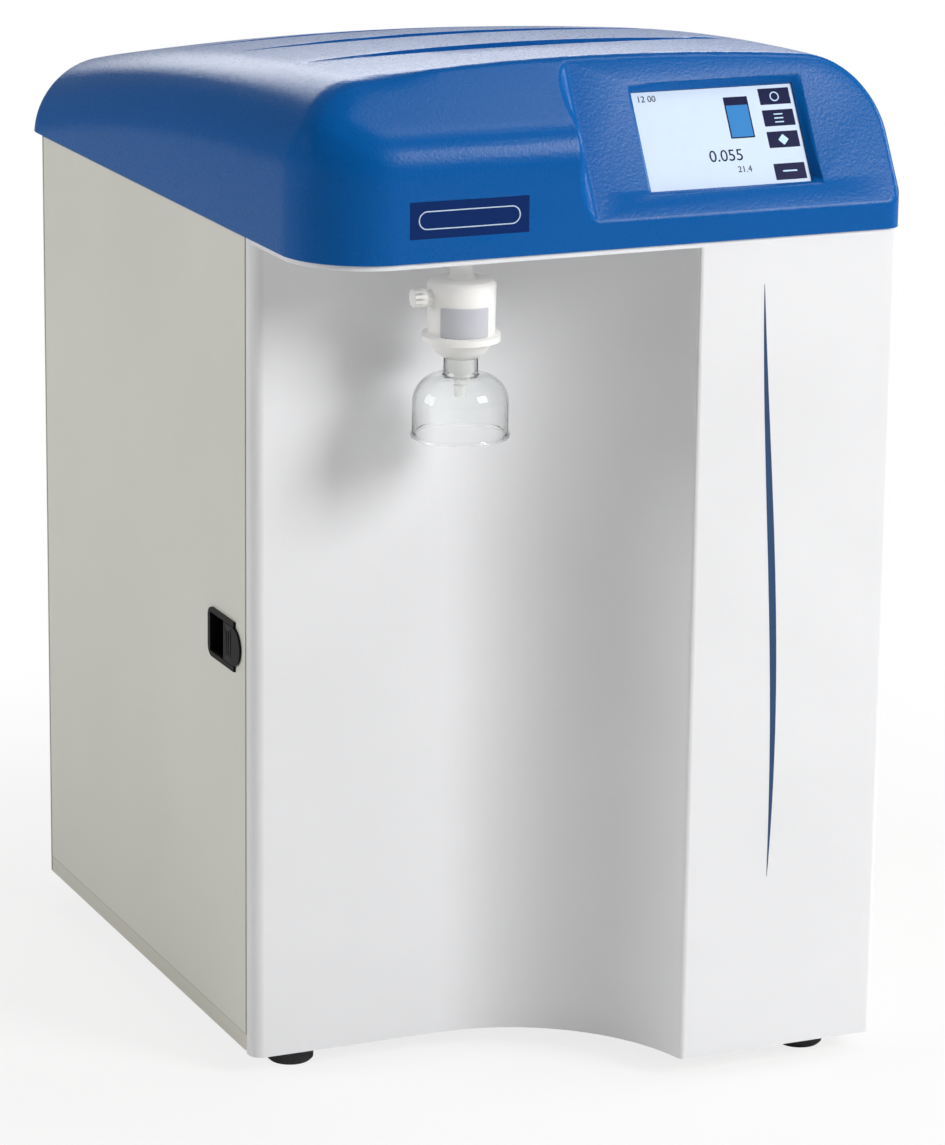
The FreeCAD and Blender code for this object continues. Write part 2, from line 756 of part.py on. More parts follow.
def cover_form(inset, low, edge_round):
    """The cover's smooth outer form, or its inner form when inset by the wall."""
    form = arched_form(inset).common(plan_form(inset, low)).common(front_form(inset, low))
    form = soften(form, edge_round, lambda box: is_front_ridge(box, inset))
    return soften(form, cover_rear_round - inset, lambda box: is_rear_ridge(box, inset))


def is_front_ridge(box, inset):
    """Edges where the leaning face meets the top and the left shoulder."""
    high = top + brow_height + 4
    behind = cover_front + lean_run + 3
    short = box.YMax < behind and box.YMin > cover_front + inset + 10
    return short and box.ZMin > high and box.XLength > 20 and box.XMin < cover_right - 60


def is_rear_ridge(box, inset):
    """Edge where the arched top meets the rear face."""
    rear = near(box.YMin, cover_rear - inset) and near(box.YLength, 0)
    return rear and box.XLength > cover_width / 2 and box.ZMin > top + 5


def on_display(shape, along=0.0):
    """Move a shape from the display face's own frame (X, up the face, out of it) to its place."""
    shape.rotate(V(0, 0, 0), V(1, 0, 0), 90 - display_tilt)
    shape.translate(V(cover_left, cover_front, top + display_sill))
    return shape


def display_notch(inset):
    """Everything in front of the display face, open to the right, with a hollow at the bulge."""
    form = block((display_left - inset, cover_width + 20), (-inset * 0.5, 150), (-inset, 70))
    return on_display(soften(form, display_hollow + inset, lambda box: (
        is_along_y(box) and near(box.XMin, display_left - inset) and near(box.ZMin, -inset))))


def is_bulge_edge(box):
    """Upper edge of the bulge's flank; the round that starts here runs all along the face's rim."""
    flank = near(box.XLength, 0) and near(box.XMin, cover_left + display_left)
    return flank and box.YLength < lean_run and box.ZMin > top + brow_height - brow_round / 2


def screen_frame(x_margin, y_margin, z_low, z_high):
    """Block centred on the screen in the display face's frame."""
    x = screen_from_left + screen_width / 2
    w = screen_width / 2 + x_margin
    h = screen_height / 2 + y_margin
    return block((x - w, x + w), (screen_up_face - h, screen_up_face + h), (z_low, z_high))


def rectangle(margin, z):
    """Rectangle round the screen at a height above the display face."""
    x = screen_from_left + screen_width / 2
    w = screen_width / 2 + margin
    h = screen_height / 2 + margin
    points = [V(x - w, screen_up_face - h, z), V(x + w, screen_up_face - h, z),
              V(x + w, screen_up_face + h, z), V(x - w, screen_up_face + h, z)]
    return Part.makePolygon(points + points[:1])


def screen_pocket():
    """Tapered pocket in the display face, with the window through its floor."""
    over = 1.0
    taper = Part.makeLoft([rectangle(0, -screen_depth), rectangle(screen_bevel, 0)], True)
    mouth = screen_frame(screen_bevel, screen_bevel, 0, over)
    window = screen_frame(-0.01, -0.01, -screen_depth - 30, -screen_depth + 0.01)
    return on_display(joined([taper, mouth, window]))


def scoop(place, thickness):
    """Wedge that cuts a crescent out of the crowned top: sloping floor and upright riser."""
    riser = cover_front + place
    apex = cover_front + arch_apex
    high = top + cover_height - (riser - apex) ** 2 / (2 * arch_radius)
    fall = (riser - apex) / arch_radius
    start = riser - scoop_length
    high_start = high + fall * scoop_length
    floor_z = high - scoop_depth - thickness
    points = [V(cover_left, riser + thickness, floor_z), V(cover_left, riser + thickness, high + 20),
              V(cover_left, start - 40, high + 40), V(cover_left, start, high_start - thickness)]
    return Part.Face(Part.makePolygon(points + points[:1])).extrude(V(cover_width, 0, 0))


def boss_centres():
    """Screw bosses between deck and cover."""
    inboard = 22.0
    front = recess_wall + 24
    rear = back - 24
    return [V(cover_left + inboard, front, 0), V(cover_right - inboard, front, 0),
            V(cover_left + inboard, rear, 0), V(cover_right - inboard, rear, 0)]


def board_posts(reach):
    """Four posts behind the display face that the screen's board is screwed to."""
    x = screen_from_left + screen_width / 2
    w = screen_width / 2 + 7
    h = screen_height / 2 + 7
    feet = [V(x + a * w, screen_up_face + b * h, -cover_wall + 0.5) for a in (-1, 1) for b in (-1, 1)]
    return [(start, V(start.x, start.y, -reach)) for start in feet]


def build_cover():
    outer = soften(cover_form(0, top, top_edge_round).cut(display_notch(0)), display_rim, is_bulge_edge)
    body = without(outer, [scoop(place, 0) for place in scoop_places])
    cavity = cover_form(cover_wall, top - 1, inner_edge_round)
    keep_out = [display_notch(cover_wall)] + [scoop(place, scoop_wall) for place in scoop_places]
    margin = screen_bevel + 3
    keep_out.append(on_display(screen_frame(margin, margin, -glass_depth(), 5)))
    cavity = without(cavity, keep_out)
    shell = body.cut(cavity).cut(screen_pocket())
    web = block((cover_left + 1, cover_right - 1), (back + touch, cover_rear - 1), (top, top + cover_wall))
    web = web.common(outer)
    bosses = [rod(5, c + V(0, 0, top + frame_sheet), c + V(0, 0, top + cover_height)).common(outer)
              for c in boss_centres()]
    posts = [on_display(rod(3, *ends)) for ends in board_posts(board_depth())]
    bores = [rod(1.5, c + V(0, 0, top), c + V(0, 0, top + 14)) for c in boss_centres()]
    strip = block((cover_left + strip_from_left, cover_left + strip_from_left + strip_width),
                  (cover_front - 1, cover_front + strip_thickness),
                  (top + strip_base, top + strip_base + strip_height))
    return without(joined([shell, web] + bosses + posts), bores + [strip])


def build_strip():
    """Flush membrane strip on the front of the cover."""
    return block((cover_left + strip_from_left, cover_left + strip_from_left + strip_width),
                 (cover_front, cover_front + strip_thickness),
                 (top + strip_base, top + strip_base + strip_height))


# ---------------------------------------------------------------- screen
def glass_depth():
    return screen_depth + screen_lip


def board_depth():
    return glass_depth() + glass_thickness + lcd_thickness + board_gap


def build_glass():
    z = -glass_depth()
    return on_display(screen_frame(glass_margin, glass_margin, z - glass_thickness, z))


def build_lcd():
    z = -glass_depth() - glass_thickness
    frame = screen_frame(glass_margin, glass_margin, z - lcd_thickness, z)
    tails = screen_frame(-30, glass_margin + 1.5, z - lcd_thickness + 1, z - 2)
    return on_display(joined([frame, tails]))


def build_screen_board():
    z = -board_depth()
    board = screen_frame(10, 10, z - board_thickness, z)
    chips = [screen_frame(-32, -18, z - board_thickness - 2.5, z - board_thickness),
             block((screen_from_left + 4, screen_from_left + 16), (screen_up_face - 20, screen_up_face - 6),
                   (z - board_thickness - 8, z - board_thickness))]
    return on_display(joined([board] + chips))


def screen_screws():
    z = -board_depth() - board_thickness
    screws = []
    for _, end in board_posts(board_depth()):
        head = V(end.x, end.y, z)
        screws.append(on_display(rod(2.8, head, head - V(0, 0, 1.8))))
    return screws


# ---------------------------------------------------------------- treatment train
def build_plate():
    """Upright mounting plate with a foot on the tray and a tab under the deck."""
    low = floor + frame_sheet
    y = (recess_wall + tube_way - 12, back - 26)
    sheet_part = block((plate_x, plate_x + frame_sheet), y, (low, top))
    foot = block((plate_x, plate_x + 18), y, (low, low + frame_sheet))
    tab = block((plate_x, plate_x + 18), y, (top - frame_sheet, top))
    plate = joined([sheet_part, foot, tab])
    way = V(plate_x, recess_wall + tube_way, port_z())
    return plate.cut(rod(tube_radius + 3, way - V(1, 0, 0), way + V(3, 0, 0)))


def cartridge_centre(i):
    return V(left + cartridge_from_left, recess_wall + cartridge_places[i], 0)


def cartridge_top():
    return floor + cartridge_rise + cartridge_length


def build_cartridge(i):
    """Sealed cartridge: ribbed foot, long body, domed shoulder and neck plug."""
    r = cartridge_radius
    low = floor + cartridge_rise
    high = cartridge_top()
    profile = [(0, low + 4), (r - 14, low + 4), (r - 12, low), (r - 4, low), (r, low + 4), (r, low + 22),
               (r - 2, low + 24), (r - 2, high - 26), (r, high - 24), (r, high - 16), (r - 8, high - 5),
               (plug_radius + 5, high), (plug_radius, high), (plug_radius, high + plug_length - 1),
               (plug_radius - 1, high + plug_length), (0, high + plug_length)]
    centre = cartridge_centre(i)
    body = turned(profile, centre)
    grips = []
    for step in range(grip_count):
        turn = 2 * math.pi * step / grip_count
        place = centre + V((r + 0.6) * math.cos(turn), (r + 0.6) * math.sin(turn), low)
        grips.append(rod(grip_radius, place - V(0, 0, 1), place + V(0, 0, 20)))
    return without(body, grips)


def build_head(i):
    """Cartridge head with its socket below and a port at each side."""
    centre = cartridge_centre(i)
    low = cartridge_top() + touch
    bore = plug_radius + touch
    body = turned([(0, low + plug_length), (bore, low + plug_length), (bore, low), (head_radius - 2, low),
                   (head_radius, low + 2), (head_radius, low + head_height - 4),
                   (head_radius - 4, low + head_height), (0, low + head_height)], centre)
    z = port_z()
    reach = head_radius + 9
    pipe = rod(6, centre + V(0, -reach, z), centre + V(0, reach, z))
    return without(joined([body, pipe]), tube_sockets(centre + V(0, 0, z), V(0, 1, 0), reach))


def port_z():
    return cartridge_top() + touch + plug_length + (head_height - plug_length) / 2


def build_head_bracket():
    """Shelf over the heads, folded up against the mounting plate."""
    z = cartridge_top() + touch + head_height
    x_low = left + cartridge_from_left - 24
    y = (recess_wall + cartridge_places[0] - 30, recess_wall + cartridge_places[1] + 30)
    shelf = block((x_low, plate_x), y, (z, z + 2))
    wall = block((plate_x - 2, plate_x), y, (z, z + 32))
    return joined([shelf, wall])


def chamber_centre():
    return V(left + cartridge_from_left, recess_wall + chamber_place, 0)


def chamber_low():
    """The chamber hangs from its side port, which lies level with the heads' ports."""
    return port_z() + chamber_port_drop - chamber_length


def build_chamber():
    """Polished lamp chamber with its two side ports."""
    centre = chamber_centre()
    low = chamber_low()
    high = low + chamber_length
    tube = rod(chamber_radius, centre + V(0, 0, low), centre + V(0, 0, high))
    elbow = chamber_outlet()
    knee = V(elbow.x, elbow.y, low + 12)
    side = centre + V(0, -chamber_radius, port_z())
    ports = [rod(6, centre + V(0, 0, port_z()), side - V(0, 10, 0)),
             rod(6, V(centre.x, centre.y, knee.z), knee),
             Part.makeSphere(6, knee),
             rod(6, knee, elbow + V(0, 0, 8))]
    sockets = [rod(tube_radius, side - V(0, 2, 0), side - V(0, 12, 0)),
               rod(tube_radius, elbow, elbow + V(0, 0, 9))]
    return without(joined([tube] + ports), sockets)


def chamber_caps():
    """Screwed end caps; the upper one takes the lamp's lead."""
    centre = chamber_centre()
    low = chamber_low()
    high = low + chamber_length
    r = chamber_radius + 3
    foot = low - chamber_cap
    lower = turned([(0, low), (r - 1, low), (r, low - 1), (r, foot), (r - 4, foot - 3),
                    (0, foot - 3)], centre)
    crown = high + chamber_cap
    upper = turned([(0, high), (r - 1, high), (r, high + 1), (r, crown), (r - 5, crown + 4),
                    (6, crown + 4), (6, crown + 14), (0, crown + 14)], centre)
    return lower, upper


def chamber_clips():
    """Saddles that hold the lamp chamber to the mounting plate."""
    centre = chamber_centre()
    riser = chamber_outlet()
    clips = []
    for z in (chamber_low() + 60, chamber_low() + chamber_length - 70):
        saddle = block((centre.x - 6, plate_x),
                       (centre.y - chamber_radius - 5, centre.y + chamber_radius + 5), (z, z + 16))
        clips.append(without(saddle, [
            rod(chamber_radius + hinge_fit, centre + V(0, 0, z - 1), centre + V(0, 0, z + 17)),
            rod(tube_radius + hinge_fit, V(riser.x, riser.y, z - 1), V(riser.x, riser.y, z + 17))]))
    return clips


pump_centre = V(plate_x + pump_from_plate, back - pump_from_back, port_height - pump_drop)


def build_pump_motor():
    c = pump_centre
    body = rod(pump_radius, c, c + V(0, pump_length, 0))
    neck = rod(pump_radius - 6, c + V(0, pump_length, 0), c + V(0, pump_length + 6, 0))
    fins = [ring(pump_radius + 2, pump_radius - 0.5, c + V(0, y, 0), c + V(0, y + 6, 0))
            for y in range(14, 70, 12)]
    return joined([body, neck] + fins)


def build_pump_head():
    c = pump_centre
    half = pump_head_half
    body = block((c.x - half, c.x + half), (c.y - 34, c.y), (c.z - half, c.z + half))
    body = chamfer(body, 5, is_along_y)
    port = c + V(0, -17, 8)
    ports = [rod(6.5, port + V(side * (half - 1), 0, 0), port + V(side * (half + 9), 0, 0))
             for side in (-1, 1)]
    screws = [rod(3, c + V(a * 19, -34, b * 19), c + V(a * 19, -36.5, b * 19))
              for a in (-1, 1) for b in (-1, 1)]
    return without(joined([body] + ports + screws), tube_sockets(port, V(1, 0, 0), half + 9, 7.0))


def build_pump_cradle():
    """Saddle under the motor on a rubber-mounted foot plate."""
    c = pump_centre
    low = floor + frame_sheet
    foot = block((c.x - 40, c.x + 40), (c.y + 7, c.y + pump_length - 1), (low, low + 3))
    saddle = block((c.x - 20, c.x + 20), (c.y + pump_length - 11, c.y + pump_length - 1), (low + 3, c.z - 8))
    front = block((c.x - 20, c.x + 20), (c.y + 7, c.y + 13), (low + 3, c.z - 8))
    bore = rod(pump_radius + hinge_fit, c + V(0, 0, 0), c + V(0, pump_length, 0))
    return joined([foot, saddle, front]).cut(bore)


def build_power_supply():
    """Ventilated metal case on the plate's right side."""
    near_face = plate_x + frame_sheet + supply_gap
    x = (near_face, near_face + supply_thickness)
    y = (recess_wall + supply_from_wall, recess_wall + supply_from_wall + supply_depth)
    z = (top - supply_drop - supply_height, top - supply_drop)
    case = block(x, y, z)
    hollow = block((x[0] + frame_sheet, x[1] - frame_sheet), (y[0] + frame_sheet, y[1] - frame_sheet),
                   (z[0] + frame_sheet, z[1] - frame_sheet))
    feet = [block((plate_x + frame_sheet, x[0] + 1), (yy, yy + 12), (zz, zz + 12))
            for yy in (y[0], y[1] - 12) for zz in (z[0], z[1] - 12)]
    slots = []
    for step in range(12):
        start = y[0] + 14 + 12 * step
        slots.append(block((x[1] - 3, x[1] + 1), (start, start + 4), (z[0] + 15, z[1] - 15)))
    return without(joined([case] + feet).cut(hollow), slots)


def build_main_board():
    x = plate_x + frame_sheet + board_standoff
    y = (recess_wall + board_from_wall, recess_wall + board_from_wall + main_board_depth)
    high = top - supply_drop - supply_height - board_spacing
    z = (high - main_board_height, high)
    board = block((x, x + board_thickness), y, z)
    stands = [rod(3, V(plate_x + frame_sheet, yy, zz), V(x, yy, zz))
              for yy in (y[0] + 6, y[1] - 6) for zz in (z[0] + 6, z[1] - 6)]
    relays = []
    for step in range(5):
        start = y[0] + 20 + 26 * step
        relays.append(block((x + board_thickness, x + 17), (start, start + 18), (z[0] + 10, z[0] + 36)))
    chip = block((x + board_thickness, x + 4), (y[0] + 70, y[0] + 98), (z[0] + 60, z[0] + 88))
    headers = [block((x + board_thickness, x + 12), (y[0] + 14, y[1] - 14), (z[1] - 16, z[1] - 8))]
    return joined([board, chip] + stands + relays + headers)


def valve(place, run):
    """Solenoid valve: body with two ports along Y, coil above."""
    body = block((place.x - 14, place.x + 14), (place.y - 18, place.y + 18), (place.z, place.z + 20))
    coil = block((place.x - 13, place.x + 13), (place.y - 15, place.y + 13), (place.z + 23, place.z + 51))
    coil = soften(coil, 5, is_upright)
    stem = rod(7, place + V(0, -1, 19), place + V(0, -1, 56))
    nut = rod(8, place + V(0, -1, 51), place + V(0, -1, 54))
    pipe = rod(6, place + V(0, -run, 10), place + V(0, run, 10))
    return without(joined([body, coil, stem, nut, pipe]), tube_sockets(place + V(0, 0, 10), V(0, 1, 0), run))


inlet_valve_place = V(port_places[0], back - valve_from_back, port_height - valve_drop)


def build_valve_bracket():
    """Angle from the tray that carries the inlet valve."""
    p = inlet_valve_place
    low = floor + frame_sheet
    shelf = block((p.x - 18, p.x + 18), (p.y - 20, p.y + 20), (p.z - 1.5, p.z))
    leg = block((p.x - 18, p.x + 18), (p.y - 20, p.y - 18.5), (low, p.z))
    foot = block((p.x - 18, p.x + 18), (p.y - 36, p.y - 18.5), (low, low + 1.5))
    return joined([shelf, leg, foot])


def build_cell():
    """Resistivity cell in line with the dispense valve."""
    c = cell_place + V(0, 0, 10)
    body = rod(9.9, c + V(0, -18, 0), c + V(0, 18, 0))
    probe = joined([rod(5, c, c + V(0, 0, 22)), rod(7.5, c + V(0, 0, 9), c + V(0, 0, 14))])
    pipe = rod(6, c + V(0, -26, 0), c + V(0, 26, 0))
    return without(joined([body, probe, pipe]), tube_sockets(c, V(0, 1, 0), 26))


def process_tubes():
    """Tubes from the inlet valve through pump, heads and lamp chamber to the outlet."""
    z = port_z()
    reach = head_radius + 1
    first = cartridge_centre(0)
    second = cartridge_centre(1)
    lamp = chamber_centre()
    cell = cell_place + V(0, 0, 10)
    gate = dispense_valve_place + V(0, 0, 10)
    port_reach_in = pump_head_half + 2
    suction = pump_centre + V(-port_reach_in, -17, 8)
    pressure = pump_centre + V(port_reach_in, -17, 8)
    supply = inlet_valve_place + V(0, -18, 10)
    riser = chamber_outlet()
    way = recess_wall + tube_way
    aside = right - 50
    tubes = [
        ring(tube_radius, tube_bore, V(first.x, first.y + reach, z), V(first.x, second.y - reach, z)),
        ring(tube_radius, tube_bore, V(first.x, second.y + reach, z),
             V(first.x, lamp.y - chamber_radius - 2, z)),
        ring(tube_radius, tube_bore, gate + V(0, 18, 0), cell - V(0, 18, 0)),
        ring(tube_radius, tube_bore, V(outlet.x, outlet.y + 8, gate.z), gate - V(0, 18, 0)),
        ring(tube_radius, tube_bore, inlet_valve_place + V(0, 18, 10),
             V(supply.x, back - port_inner + 8, supply.z)),
        bent_tube([supply, V(supply.x, suction.y, supply.z), suction], 15, tube_radius, tube_bore),
        bent_tube([pressure, V(aside, pressure.y, pressure.z), V(aside, pressure.y, z), V(aside, way, z),
                   V(first.x, way, z), V(first.x, first.y - reach, z)], 15, tube_radius, tube_bore),
        bent_tube([riser, V(riser.x, riser.y, cell.z), V(riser.x, riser.y - 60, cell.z),
                   V(cell.x, cell.y + 60, cell.z), cell + V(0, 18, 0)], 20, tube_radius, tube_bore)]
    return tubes


def chamber_outlet():
    """Where the riser leaves the elbow at the foot of the lamp chamber."""
    return chamber_centre() + V(chamber_radius + 14, 0, chamber_low() + 24)


# ---------------------------------------------------------------- rear services
def port_centre(i):
    return V(port_places[i], back, port_height)


def build_port(i):
    """Push-fit bulkhead fitting: barrel outside, thread and nut inside."""
    c = port_centre(i)
    barrel = rod(port_body_radius, c, c + V(0, port_reach, 0))
    barrel = chamfer(barrel, 0.8, lambda box: near(box.YLength, 0) and near(box.YMin, back + port_reach))
    thread = rod(port_body_radius - 1.5, c - V(0, port_inner, 0), c)
    corners = [c + V(11 * math.cos(turn), -sheet, 11 * math.sin(turn)) for turn in hexagon_turns()]
    ring_nut = Part.Face(Part.makePolygon(corners)).extrude(V(0, -5, 0))
    bore = rod(port_tube, c - V(0, 2, 0), c + V(0, port_reach + 1, 0))
    throat = rod(tube_bore, c - V(0, port_inner, 0), c)
    socket = rod(tube_radius, c - V(0, port_inner + 1, 0), c - V(0, port_inner - 8, 0))
    seat = rod(collet_radius + hinge_fit, c + V(0, port_reach - 8, 0), c + V(0, port_reach + 1, 0))
    return without(joined([barrel, thread, ring_nut]), [bore, throat, socket, seat])


def build_collet(i):
    """Release collet: sleeve in the barrel with a flange to press."""
    c = port_centre(i)
    sleeve = rod(collet_radius, c + V(0, port_reach - 6, 0), c + V(0, port_reach + 3, 0))
    flange = rod(collet_flange, c + V(0, port_reach + collet_travel + touch, 0),
                 c + V(0, port_reach + collet_travel + touch + 2, 0))
    return joined([sleeve, flange]).cut(rod(port_tube + 0.1, c, c + V(0, port_reach + 10, 0)))


def inlet_outline(inset, y0, y1):
    """Rounded upright block of the mains module."""
    x = (inlet_place - inlet_width / 2 + inset, inlet_place + inlet_width / 2 - inset)
    z = (floor + inlet_rise + inset, floor + inlet_rise + inlet_height - inset)
    form = block(x, (y0, y1), z)
    return soften(form, 2, is_along_y)


def build_inlet():
    """Mains inlet: flange, housing, shaped socket with three blades, slot for the fuse drawer."""
    flange = inlet_outline(0, back, back + 2.5)
    housing = inlet_outline(1.5, back - 26, back)
    z0 = floor + inlet_rise + 5
    w = socket_width / 2
    shape = [V(-w, 0, 0), V(w, 0, 0), V(w, 0, socket_height - 5), V(w - 5, 0, socket_height),
             V(-w + 5, 0, socket_height), V(-w, 0, socket_height - 5)]
    points = [p + V(inlet_place, back - socket_deep, z0) for p in shape]
    socket = Part.Face(Part.makePolygon(points + points[:1])).extrude(V(0, socket_deep + 3, 0))
    body = without(joined([flange, housing]), [socket, drawer_block(touch, 1)])
    run = (back - socket_deep - 1, back - 5)
    blades = [block((inlet_place + x - 1, inlet_place + x + 1), run, (z0 + z - 2, z0 + z + 2))
              for x, z in ((-7, 6), (7, 6), (0, 10))]
    return joined([body] + blades)


def drawer_block(clearance, proud):
    """Body of the fuse drawer, grown by a clearance."""
    z = floor + inlet_rise + inlet_height - 18
    x = 10 + clearance
    return block((inlet_place - x, inlet_place + x), (back - 20 - clearance, back + 2.5 + proud),
                 (z - clearance, z + 13 + clearance))


def build_fuse_drawer():
    """Drawer with a finger notch and a clip bay for the fuse."""
    z = floor + inlet_rise + inlet_height - 18
    body = drawer_block(0, 1)
    bay = block((inlet_place - 7, inlet_place + 7), (back - 17, back - 3), (z + 3, z + 14))
    notch = rod(3, V(inlet_place - 12, back + 4.5, z + 6.5), V(inlet_place + 12, back + 4.5, z + 6.5))
    return without(body, [bay, notch])


def switch_centre():
    return V(inlet_place, back, floor + inlet_rise + inlet_height + 8 + switch_height / 2)


def build_switch_body():
    c = switch_centre()
    w = switch_width / 2
    h = switch_height / 2
    bezel = block((c.x - w, c.x + w), (back, back + 2), (c.z - h, c.z + h))
    box = block((c.x - w + 1, c.x + w - 1), (back - 16, back), (c.z - h + 1, c.z + h - 1))
    well = block((c.x - w + 2, c.x + w - 2), (back - 12, back + 3), (c.z - h + 2, c.z + h - 2))
    return joined([bezel, box]).cut(well)


def build_rocker():
    """Rocker: part of a drum about its pivot with a shallow V across the top, resting on one side."""
    c = switch_centre()
    pivot = V(c.x, back - 3, c.z)
    w = switch_width / 2 - 2 - touch
    r = switch_height / 2 - 2 - touch
    drum = rod(r, pivot - V(w, 0, 0), pivot + V(w, 0, 0))
    keep_half = block((c.x - w, c.x + w), (pivot.y - 2, pivot.y + r + 1), (c.z - r - 1, c.z + r + 1))
    drum = drum.common(keep_half)
    valley = V(c.x, pivot.y + 4.2, c.z)
    for side in (-1, 1):
        blade = block((c.x - w - 1, c.x + w + 1), (valley.y, valley.y + 20), sorted((c.z, c.z + side * 20)))
        blade.rotate(valley, V(1, 0, 0), -side * rocker_throw / 2)
        drum = drum.cut(blade)
    drum.rotate(pivot, V(1, 0, 0), rocker_throw / 2)
    return drum


def louvre_places():
    return [(x, floor + 250 + 14 * i) for x in (-110.0, -20.0, 70.0) for i in range(12)]


def build_back_panel():
    """Rear sheet with louvred slots and openings for the services."""
    panel = block((left + 0.5, right - 0.5), (back - sheet, back), (floor + 0.5, top - 0.5))
    hoods = []
    tools = []
    for x, z in louvre_places():
        hood = rod(4, V(x, back - sheet, z), V(x + 60, back - sheet, z))
        hood = hood.cut(rod(4 - sheet, V(x - 1, back - sheet, z), V(x + 61, back - sheet, z)))
        hoods.append(hood.common(block((x, x + 60), (back - sheet, back + 5), (z, z + 5))))
        tools.append(block((x, x + 60), (back - 2, back + 0.01), (z - 3, z)))
        tools.append(block((x + 0.01, x + 59.99), (back - 2, back + 0.01), (z, z + 4 - sheet)))
    for i in range(len(port_places)):
        c = port_centre(i)
        tools.append(rod(port_body_radius - 1.5 + hinge_fit, c - V(0, 3, 0), c + V(0, 3, 0)))
    tools.append(inlet_outline(1.5 - hinge_fit, back - 3, back + 1))
    c = switch_centre()
    w = switch_width / 2 - 1 + hinge_fit
    h = switch_height / 2 - 1 + hinge_fit
    tools.append(block((c.x - w, c.x + w), (back - 3, back + 1), (c.z - h, c.z + h)))
    tools += [rod(screw_radius + hinge_fit, V(x, back - 3, z), V(x, back + 1, z)) for x, z in back_screws()]
    return joined([without(panel, tools)] + hoods)


def back_screws():
    x = cabinet_width / 2 - rear_post_inset + post_leg / 2
    return [(a * x, z) for a in (-1, 1) for z in (floor + 30, floor + cabinet_height / 2, top - 30)]


def pan_screw(seat, out, length):
    """Pan-head screw whose head sits on a face; out is the unit normal of the face."""
    head = rod(screw_head_radius, seat, seat + out * screw_head)
    shank = rod(screw_radius, seat - out * length, seat)
    recess = rod(1.3, seat + out * (screw_head - 1.2), seat + out * (screw_head + 1))
    return joined([head, shank]).cut(recess)


# ---------------------------------------------------------------- feet
def build_foot(centre):
    """Tapered rubber foot with a recess for its screw."""
    r = foot_radius
    return turned([(4.2, 0), (r - 2, 0), (r - 0.5, 1.5), (r, floor), (screw_radius + 0.1, floor),
                   (screw_radius + 0.1, 4), (4.2, 4)], centre)


def foot_screw(centre):
    """Screw up through the foot into the tray."""
    return joined([rod(3.8, centre + V(0, 0, 2), centre + V(0, 0, 4)),
                   rod(screw_radius, centre + V(0, 0, 4), centre + V(0, 0, floor + frame_sheet + 2))])


# ---------------------------------------------------------------- assembly
def model():
    keep("front_fascia", build_fascia())
    keep("base_tray", build_tray())
    keep("top_deck", build_deck())
    inner = recess_wall + fascia_wall
    keep("front_left_post", post(left + post_inset, inner + touch, post_leg, post_depth))
    keep("front_right_post", post(right - fold, inner + touch, -post_leg, post_depth))
    keep("rear_left_post", rear_post(-1))
    keep("rear_right_post", rear_post(1))
    keep("back_panel", build_back_panel())
    keep("right_side_panel", build_right_panel())
    keep("side_door", build_door())
    keep("door_hinge_pins", *hinge_pins())
    keep("door_hinge_bushes", *hinge_bushes())
    keep("latch_body", build_latch_body())
    keep("latch_slide", build_latch_slide())
    keep("door_magnet", build_magnet())
    keep("top_cover", build_cover())
    keep("name_strip", build_strip())
    keep("screen_glass", build_glass())
    keep("screen_lcd", build_lcd())
    keep("screen_board", build_screen_board())
    keep("screen_screws", *screen_screws())
    keep("outlet_fitting", build_outlet_fitting())
    keep("filter_upper_housing", build_filter_upper())
    keep("filter_lower_housing", build_filter_lower())
    keep("filter_element", build_filter_element())
    keep("filter_vent_cap", build_vent_cap())
    keep("filling_bell", build_bell())
    keep("mounting_plate", build_plate())
    for i, name in enumerate(("front", "rear")):
        keep(name + "_cartridge", build_cartridge(i))
        keep(name + "_cartridge_head", build_head(i))
    keep("head_bracket", build_head_bracket())
    keep("lamp_chamber", build_chamber())
    keep("lamp_chamber_caps", *chamber_caps())
    keep("lamp_chamber_clips", *chamber_clips())
    keep("pump_motor", build_pump_motor())
    keep("pump_head", build_pump_head())
    keep("pump_cradle", build_pump_cradle())
    keep("power_supply", build_power_supply())
    keep("main_board", build_main_board())
    keep("inlet_valve", valve(inlet_valve_place, 26))
    keep("inlet_valve_bracket", build_valve_bracket())
    keep("dispense_valve", valve(dispense_valve_place, 26))
    keep("resistivity_cell", build_cell())
    keep("process_tubes", *process_tubes())
    for i, name in enumerate(port_names):
        keep(name + "_port", build_port(i))
        keep(name + "_collet", build_collet(i))
    keep("mains_inlet", build_inlet())
    keep("fuse_drawer", build_fuse_drawer())
    keep("switch_body", build_switch_body())
    keep("switch_rocker", build_rocker())
    keep("back_screws", *[pan_screw(V(x, back, z), V(0, 1, 0), 6) for x, z in back_screws()])
    keep("rubber_feet", *[build_foot(c) for c in foot_centres()])
    keep("foot_screws", *[foot_screw(c) for c in foot_centres()])


def export():
    os.makedirs("parts", exist_ok=True)
    for name, shape in parts.items():
        shape.exportStep("parts/" + name + ".step")


model()
export()
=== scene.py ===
"""Ultrapure water system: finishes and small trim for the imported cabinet, laid out as an add-on."""
import json
import math

import bmesh
import bpy
from bpy.props import FloatProperty, FloatVectorProperty, IntProperty, PointerProperty
from mathutils import Matrix, Vector
from mathutils.bvhtree import BVHTree

